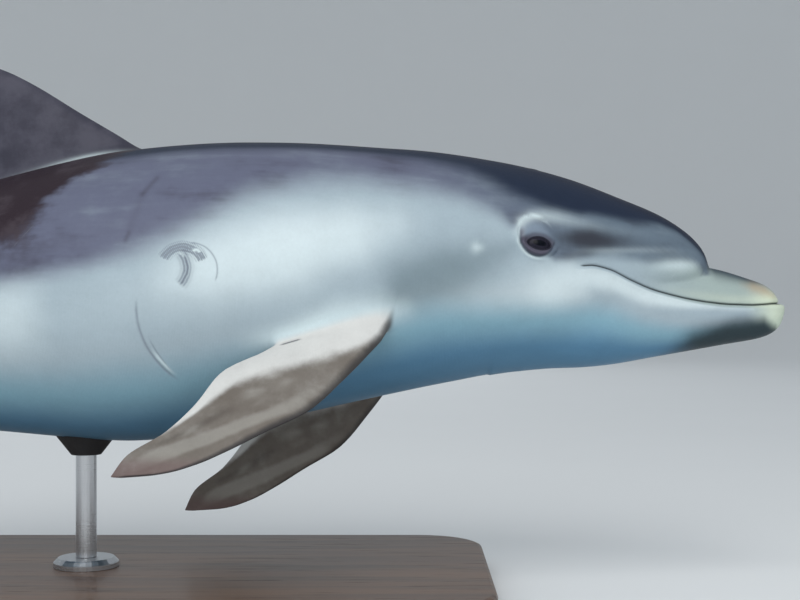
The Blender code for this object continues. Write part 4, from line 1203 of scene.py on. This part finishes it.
def skinFinish():
    f = Finish("wet_skin")
    place = f.attribute("place")
    back, y, z = f.parts(place)
    # belly places the painted blue shade under the body
    crown, cape, belly = f.parts(f.attribute("coat"))
    # the third part is the painted shade along the melon's foot
    stripe, chin, melonFoot = f.parts(f.attribute("face"))
    # painted highlights on the brow, the cheek and the dorsal fin's foot, with the pale marks under the eye,
    # at the ear and behind the flipper
    ring, cheek, foot = f.parts(f.attribute("glow"))
    # painted highlights on the jaw and the flank, and the beak's own tone
    jawShine, flankShine, beakSide = f.parts(f.attribute("shine"))
    # painted shade on the shoulder, the dark patch under the dorsal fin, and the beak's dark top
    shoulder, saddle, beakShade = f.parts(f.attribute("shade"))
    lift, beakTip, behindMelon = f.parts(f.attribute("mouth"))
    lowerLid, upperPad, crescentHighlight = f.parts(f.attribute("lids"))
    lidLine, browLid, bladeBrown = f.parts(f.attribute("lidEdge"))
    bladeWhite, bladePale, bladeSpots = f.parts(f.attribute("blade"))
    dorsal, flipper, fluke = f.parts(f.attribute("kinds"))
    chord, span, face = f.parts(f.attribute("fin"))
    rim = f.amount("rim")

    cloud = f.noise(place, 14.0, 4.0, 0.6) - 0.5
    mottle = f.noise(place, 55.0, 4.0, 0.6) - 0.5
    grain = f.noise(place, 420.0, 3.0, 0.6) - 0.5
    drawn = f.noise(f.join(back * 9.0, y * 60.0, z * 60.0), 1.0, 4.0, 0.6) - 0.5     # streaks along the body

    # the coat: a grey flank with painted highlights and painted shade on the shoulder, a grey cape, a dark
    # crown with painted shade along its top, and a belly painted with blue shade
    colour = f.blend(f.between(0.0, 1.0, flankShine + cloud * 0.25), tones["flank"], tones["shine"])
    colour = f.paint(colour, tones,
                     # painted shade on the shoulder
                     (f.between(0.0, 1.0, shoulder + cloud * 0.25 + drawn * 0.1), "shoulder"),
                     # painted highlight on the jaw
                     (f.between(0.0, 1.0, jawShine + cloud * 0.2), "shine"),
                     # painted blue shade under the belly
                     (f.between(0.0, 0.55, belly + cloud * 0.1 + drawn * 0.06), "lowBelly"),
                     (f.between(0.45, 1.0, belly + cloud * 0.1), "deepBelly"),
                     (beakSide * 0.85, "beak"))
    capeTone = f.paint(f.blend(behindMelon, tones["melon"], tones["cape"]), tones,
                       (f.between(0.0, 0.3, cloud + drawn * 0.7) * 0.4, "saddle"),
                       (f.between(0.0, -0.3, cloud + drawn * 0.7) * 0.18, "flank"))
    colour = f.blend(f.between(0.0, 1.0, cape + cloud * 0.3 + drawn * 0.22), colour, capeTone)
    colour = f.paint(colour, tones,
                     (f.between(0.0, 1.0, crown + cloud * 0.22 + drawn * 0.2), "crown"),
                     # painted shade along the top of the back
                     (f.between(0.9, 2.0, crown), "ridge"))
    saddleTone = f.blend(f.between(0.02, 0.34, mottle + cloud) * 0.55, tones["saddle"], tones["saddlePale"])
    ragged = saddle + cloud * 1.1 + mottle * 0.9 + drawn * 0.6
    colour = f.blend(f.between(0.1, 0.7, ragged) * f.between(0.0, 0.1, saddle), colour, saddleTone)

    # the head
    upper = f.between(-0.0006, 0.0006, lift)
    nearLip = f.hump(lift - 0.0042, 0.0042) * f.between(0.13, 0.03, back)
    tip = f.between(0.038, 0.008, back)
    colour = f.paint(colour, tones,
                     (f.between(0.0, 1.0, beakShade + mottle * 0.2), "beakTop"),
                     (nearLip * 0.55 * upper, "lip"),
                     # painted shade along the melon's foot
                     (melonFoot * 0.6, "melonFoot"),
                     (f.between(0.0, 1.0, stripe + cloud * 0.25 + drawn * 0.12), "stripe"),
                     # painted highlights on the brow, the cheek and the dorsal fin's foot, with the pale marks
                     # under the eye, at the ear and behind the flipper
                     (ring * 0.62, "pale"), (cheek * 0.62, "pale"), (foot * 0.85, "pale"),
                     (tip * 0.85 * f.between(0.016, 0.004, lift), "cream"),
                     (beakTip * 0.48, "peach"),
                     (f.between(0.0, 1.0, chin + cloud * 0.35 + mottle * 0.2), "chin"),
                     (upperPad * 0.85, "lidPad"),
                     (f.between(0.0, 1.0, lowerLid + mottle * 0.2), "lidDark"),
                     # with the painted highlight on the fold round the eye
                     (browLid * 0.75, "lidDark"), (crescentHighlight * 0.65, "pale"), (lidLine * 0.85, "lidLine"))

    # fins
    finCloud = f.noise(place, 38.0, 4.0, 0.62) - 0.5
    dorsalTone = f.blend(f.between(-0.2, 0.2, finCloud + cloud), tones["dorsal"], tones["dorsalPale"])
    blade = f.paint(tones["flipper"], tones,
                    (f.between(-0.25, 0.35, finCloud) * 0.5, "flipperPale"),
                    (f.between(0.25, 0.75, bladePale + finCloud * 0.5) * 0.9, "flipperPale"),
                    (bladeBrown * 0.6, "flipperBrown"), (bladeSpots * 0.8, "flipperPale"),
                    (f.between(0.9, 0.97, span + finCloud * 0.06) * 0.8, "flipperTip"),
                    (f.between(0.0, 1.0, bladeWhite + finCloud * 0.8), "flipperWhite"),
                    # painted shadow along each flipper's leading edge
                    (f.between(0.085, 0.0, chord + finCloud * 0.05) * 0.85, "flipperEdge"))
    underTone = f.blend(f.between(-0.3, 0.3, finCloud), tones["flukeUnder"], tones["cape"])
    flukeTone = f.blend(f.between(-0.5, 0.5, face + finCloud), underTone, tones["flukeTop"])
    for amount, tone in ((dorsal, dorsalTone), (flipper, blade), (fluke, flukeTone)):
        colour = f.blend(amount, colour, tone)

    # small marks: an arched scuff on the right side with painted highlights, birth folds with a painted
    # highlight between them, an armpit crease, slits, and fine scratches
    rightSide = f.between(0.02, -0.02, y)

    def arc(name, combs=0.0):
        middle, radius, width, low, high, way = smallMarks[name]
        dx, dz = (middle[0] - back) * way, (z - middle[1]) * way
        away = f.length(f.join(dx, dz, 0.0))
        turn = f.node("ShaderNodeMath", {"operation": "ARCTAN2"}, {0: dz, 1: dx})
        soft = f.between(low, low + 0.2, turn) * f.between(high, high - 0.2, turn)
        grooves = f.node("ShaderNodeMath", {"operation": "SINE"}, {0: away * 2400.0 + mottle * 12.0})
        return f.hump(away - radius + mottle * 0.001, width) * soft * (1.0 + grooves * combs)

    def stroke(mark, first=back, second=z):
        start, end, width = mark
        length = math.hypot(end[0] - start[0], end[1] - start[1])
        ua, ub = (end[0] - start[0]) / length, (end[1] - start[1]) / length
        da, db = first - start[0], second - start[1]
        along = da * ua + db * ub
        ends = f.between(-0.001, 0.004, along) * f.between(length + 0.001, length - 0.004, along)
        return f.hump(da * ub - db * ua, width) * ends

    combed = f.bands(f.join(back - z * 0.6, 0.0, 0.0), 190.0, 2.4)
    band = arc("band", 0.35) * (0.62 + combed * 0.5)
    tail = arc("tail", 0.35)
    # painted highlights on the scuff
    spots = arc("bigSpot") + arc("smallSpot") * 0.6
    folds = arc("frontFold") + arc("rearFold") * 0.8
    firstScore, secondScore = (stroke(mark) for mark in smallMarks["scores"])
    scores = firstScore + secondScore + stroke(smallMarks["faintScore"]) * 0.4
    crease = stroke(smallMarks["crease"])
    slit, *others = (stroke(mark, back, y) for mark in smallMarks["slits"])
    for other in others:
        slit = slit + other
    slits = slit * f.between(-0.045, -0.06, z)
    scuff = (f.between(0.1, 0.75, band) * 0.85 + tail * 0.85 + arc("outer") * 0.6) * rightSide
    scratch = f.node("ShaderNodeTexVoronoi", {"feature": "DISTANCE_TO_EDGE"},
                     {"Vector": f.join(back * 16.0 + z * 9.0, y * 5.0, z * 3.5 - back * 2.0), "Scale": 1.0})
    scratches = f.between(0.01, 0.0, scratch) * f.between(0.12, 0.3, cloud) * 0.25

    # with the mouth's dark line, the eye rims, and a fine unevenness everywhere
    inMouth = f.between(0.1795, 0.1745, back)
    colour = f.paint(colour, tones,
                     (scuff, "scuff"), (folds * 0.6, "scuff"),
                     # painted highlights between the folds and on the scuff
                     (arc("foldShine") * 0.6 + spots * rightSide * 0.8, "pale"),
                     (scores * rightSide * 0.28, "saddle"), (crease * 0.8 + slits * 0.75, "lidLine"),
                     (scratches, "pale"), (f.hump(lift, 0.0008) * inMouth * 0.92, "mouthLine"),
                     (f.between(0.15, 0.9, rim), "rimDark"))
    colour = f.shaded(colour, 1.0 + mottle * 0.16 + grain * 0.1 + cloud * 0.12)

    roughness = 0.46 + grain * 0.1 + mottle * 0.12 - rim * 0.1
    dents = (folds + crease + slits) * -1.6 + (band + tail) * rightSide * -0.5
    height = f.bands(place, 260.0, 2.5) * 0.1 + grain * 0.4 + mottle * 1.2 - scratches * 0.8 + dents
    f.set(Base_Color=colour, Roughness=roughness, Normal=f.bump(height, 0.0004, 0.6))
    f.set(IOR=1.28, Specular_IOR_Level=0.22, Coat_Weight=0.02, Coat_Roughness=0.2)
    return f.material


skinObject.data.materials.append(skinFinish())

eyeball = {
    "rings": 40, "columns": 64, "crowd": 1.25, "cornea": (0.0105, 0.0008),     # the dome's radius and rise
    "iris": (0.0098, 0.0074), "pupil": (0.0056, 0.0024), "pupilDrop": -0.0004, "vein": (0.042, 0.028, 0.034),
    "white": (0.03, 0.027, 0.036), "irisTone": (0.014, 0.014, 0.024), "irisEdge": (0.006, 0.006, 0.012),
    "irisRay": (0.026, 0.022, 0.028), "pupilTone": (0.003, 0.004, 0.007),
}


def buildEyeball(which, hand):
    at, along, up, normal = eyeBasis(hand)
    ra, rb, rn = eye["globe"]
    radius, rise = eyeball["cornea"]
    points, look = [at + normal * (rn - eye["lookIn"] + rise)], [(0.0, 0.0, 0.0)]
    faces = []
    rings, columns = eyeball["rings"], eyeball["columns"]
    for r in range(1, rings):
        lean = math.pi * (r / rings) ** eyeball["crowd"]
        for c in range(columns):
            turn = 2 * math.pi * c / columns
            a, b = ra * math.sin(lean) * math.cos(turn), rb * math.sin(lean) * math.sin(turn)
            out = rn * math.cos(lean) - eye["lookIn"]
            away = math.hypot(a, b) / radius
            if lean < math.pi / 2 and away < 1:
                out += rise * (1 - away * away) ** 2
            points.append(at + along * a + up * b + normal * out)
            look.append((a, b, 0.0 if lean < math.pi / 2 else 1.0))
    points.append(at - normal * (rn + eye["lookIn"]))
    look.append((0.0, 0.0, 1.0))
    for c in range(columns):
        n = (c + 1) % columns
        faces.append((0, 1 + c, 1 + n))
        for r in range(rings - 2):
            low, high = 1 + r * columns, 1 + (r + 1) * columns
            faces.append((low + c, high + c, high + n, low + n))
        faces.append((1 + (rings - 2) * columns + c, len(points) - 1, 1 + (rings - 2) * columns + n))
    mesh = bpy.data.meshes.new("eyeball_" + which)
    mesh.from_pydata([tuple(p) for p in points], [], faces)
    turnOutwards(mesh)
    addVectors(mesh, "look", look)
    mesh.transform(bodyFrame)
    made = addObject("eyeball_" + which, mesh)
    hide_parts("eye_" + which)
    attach(made, "root")
    return made


def eyeFinish():
    f = Finish("wet_eye")
    look = f.attribute("look")
    a, b, _ = f.parts(look)

    def oval(sizes, dropped=0.0):
        return f.length(f.join(a * (1 / sizes[0]), (b + dropped) * (1 / sizes[1]), 0.0))

    turn = f.node("ShaderNodeMath", {"operation": "ARCTAN2"}, {0: b, 1: a})
    inIris = oval(eyeball["iris"])
    rays = f.noise(f.join(turn * 6.0, inIris * 1.2, 0.0), 1.6, 4.0, 0.6) - 0.5
    veins = f.noise(look, 900.0, 3.0, 0.7) - 0.5
    iris = f.paint(eyeball["irisTone"], eyeball, (f.between(-0.05, 0.25, rays), "irisRay"),
                   (f.between(0.72, 0.98, inIris), "irisEdge"))
    colour = f.paint(eyeball["white"], eyeball, (f.between(-0.1, 0.3, veins), "vein"))
    colour = f.blend(f.between(1.06, 0.98, inIris), colour, iris)
    inPupil = oval(eyeball["pupil"], eyeball["pupilDrop"])
    colour = f.paint(colour, eyeball, (f.between(1.1, 0.92, inPupil), "pupilTone"))
    f.set(Base_Color=colour, Roughness=0.3 + f.between(0.9, 1.2, inIris) * 0.12)
    f.set(IOR=1.3, Specular_IOR_Level=0.15, Coat_Weight=0.06, Coat_Roughness=0.12)
    return f.material


eyeMaterial = eyeFinish()
for which, hand in (("right", -1), ("left", 1)):
    buildEyeball(which, hand).data.materials.append(eyeMaterial)
print("eyes: two globes with", eyeball["rings"] * eyeball["columns"], "faces each")


stand = {
    "wood": (0.105, 0.052, 0.026), "woodDark": (0.042, 0.02, 0.011), "woodPale": (0.17, 0.092, 0.048),
    "pit": (0.015, 0.008, 0.005), "steel": (0.6, 0.61, 0.63), "rubber": (0.022, 0.022, 0.024),
    "dust": (0.075, 0.073, 0.07),
}


def woodFinish():
    f = Finish("oiled_walnut")
    x, y, z = f.parts(f.inObject())
    sway = f.noise(f.join(x * 1.3, y * 4.0, z * 4.0), 1.0, 3.0) - 0.5
    rings = f.bands(f.join(x * 0.55, y + sway * 0.1, z + sway * 0.05), 9.0, 3.5, 3.0, 0.8,
                    bands_direction="Y", wave_profile="SAW")
    pits = f.between(0.4, 0.3, f.noise(f.join(x * 10.0, y * 330.0, z * 330.0), 1.0, 3.0, 0.7))
    figure = f.noise(f.join(x * 3.0, y * 26.0, z * 26.0), 1.0, 4.0, 0.6)
    colour = f.paint(stand["wood"], stand, (rings * 0.75, "woodDark"),
                     (f.between(0.45, 0.72, figure) * 0.6, "woodPale"), (pits * 0.7, "pit"))
    f.set(Base_Color=colour, Roughness=0.36 + pits * 0.25 + figure * 0.08,
          Normal=f.bump(figure * 0.4 - pits * 0.8, 0.0002, 0.5))
    f.set(Coat_Weight=0.25, Coat_Roughness=0.18)
    return f.material


def steelFinish():
    f = Finish("brushed_steel")
    at = f.inObject()
    x, y, z = f.parts(at)
    brushed = f.noise(f.join(x * 18.0, y * 18.0, z * 1400.0), 1.0, 3.0, 0.6) - 0.5
    smear = f.noise(at, 25.0, 3.0) - 0.5
    colour = f.shaded(stand["steel"], 1.0 + brushed * 0.22 + smear * 0.06)
    f.set(Base_Color=colour, Roughness=0.3 + brushed * 0.18 + smear * 0.1,
          Normal=f.bump(brushed, 0.00005, 0.4))
    f.set(Metallic=1.0)
    return f.material


def rubberFinish():
    f = Finish("soft_rubber")
    at = f.inObject()
    speckle = f.noise(at, 900.0, 2.0, 0.6) - 0.5
    dust = f.noise(at, 30.0, 4.0, 0.65)
    colour = f.paint(stand["rubber"], stand, (f.between(0.5, 0.75, dust) * 0.35, "dust"))
    f.set(Base_Color=colour, Roughness=0.72 + speckle * 0.15, Normal=f.bump(speckle, 0.0001, 0.5))
    return f.material


finishes = {"stand_wood": woodFinish(), "stand_steel": steelFinish(), "stand_rubber": rubberFinish()}
for subpart in frame["record"]["subparts"]:
    if subpart["material_slot"] in finishes:
        part = frame["nodes"][subpart["node"]]
        for slot in part.material_slots:
            slot.material = finishes[subpart["material_slot"]]
print("stand: walnut, steel and rubber set")


studio = {
    # the floor is a wide round dish, flat in the middle and rising to a wall all round
    "floor": (0.77, 0.785, 0.79), "flat": 5.0, "bend": 3.5, "wallTop": 5.5, "columns": 96, "bendRings": 16,
    "world": ((0.84, 0.9, 0.96), 0.54),
    "aim": (0.1, 0.0, 0.24), "lens": 64.8, "sensor": 36, "lookFrom": (-0.3277, -1.25, 0.003),
    # lamps: place, size, power, tint
    "key": ((0.05, -1.6, 1.8), 1.5, 29, (1.0, 0.99, 0.97)),
    "front": ((2.34, -3.68, 1.3), 2.4, 33, (0.95, 0.98, 1.0)),
    "side": ((-1.98, -3.68, 1.3), 2.4, 36, (0.97, 0.99, 1.0)),
    "behind": ((-1.5, 3.84, 1.78), 3.5, 50, (0.95, 0.98, 1.0)),
}


def buildStudio():
    count, flat, bend = studio["columns"], studio["flat"], studio["bend"]
    profile = [(flat * share, 0.0) for share in (0.1, 0.3, 0.6, 1.0)]
    for i in range(1, studio["bendRings"] + 1):
        turn = math.pi / 2 * i / studio["bendRings"]
        profile.append((flat + bend * math.sin(turn), bend * (1 - math.cos(turn))))
    profile.append((flat + bend, studio["wallTop"]))
    turns = [2 * math.pi * c / count for c in range(count)]
    points = [(out * math.cos(turn), out * math.sin(turn), up) for out, up in profile for turn in turns]
    faces = [tuple(range(count))]
    for r in range(len(profile) - 1):
        for c in range(count):
            n = (c + 1) % count
            faces.append((r * count + c, (r + 1) * count + c, (r + 1) * count + n, r * count + n))
    mesh = bpy.data.meshes.new("floor_dish")
    mesh.from_pydata(points, [], faces)
    mesh.shade_smooth()
    dish = addObject("floor_dish", mesh)
    f = Finish("painted_floor")
    darker = tuple(c * 0.92 for c in studio["floor"])
    f.set(Base_Color=f.blend(f.noise(f.inObject(), 3.0) * 0.25, studio["floor"], darker), Roughness=0.75)
    mesh.materials.append(f.material)
    for name in ("key", "front", "side", "behind"):
        place, size, power, tint = studio[name]
        light = bpy.data.lights.new(name + "_lamp", "AREA")
        light.energy, light.size, light.color = power, size, tint
        lamp = addObject(name + "_lamp", light)
        lamp.location = place
        lamp.rotation_euler = (Vector(studio["aim"]) - lamp.location).to_track_quat("-Z", "Y").to_euler()
        lamp.visible_camera = False
        lamp.visible_glossy = name == "key"
    world = bpy.data.worlds.new("studio_air")
    world.use_nodes = True
    sky = world.node_tree.nodes["Background"]
    sky.inputs[0].default_value = (*studio["world"][0], 1.0)
    sky.inputs[1].default_value = studio["world"][1]
    bpy.context.scene.world = world
    bpy.context.scene.view_settings.view_transform = "Standard"


def placeCamera():
    camera = bpy.data.cameras.new("camera")
    camera.lens, camera.sensor_width = studio["lens"], studio["sensor"]
    made = addObject("camera", camera)
    made.location = bodyFrame.translation + Vector(studio["lookFrom"])
    made.rotation_euler = (math.pi / 2, 0, 0)
    bpy.context.scene.camera = made


buildStudio()
placeCamera()
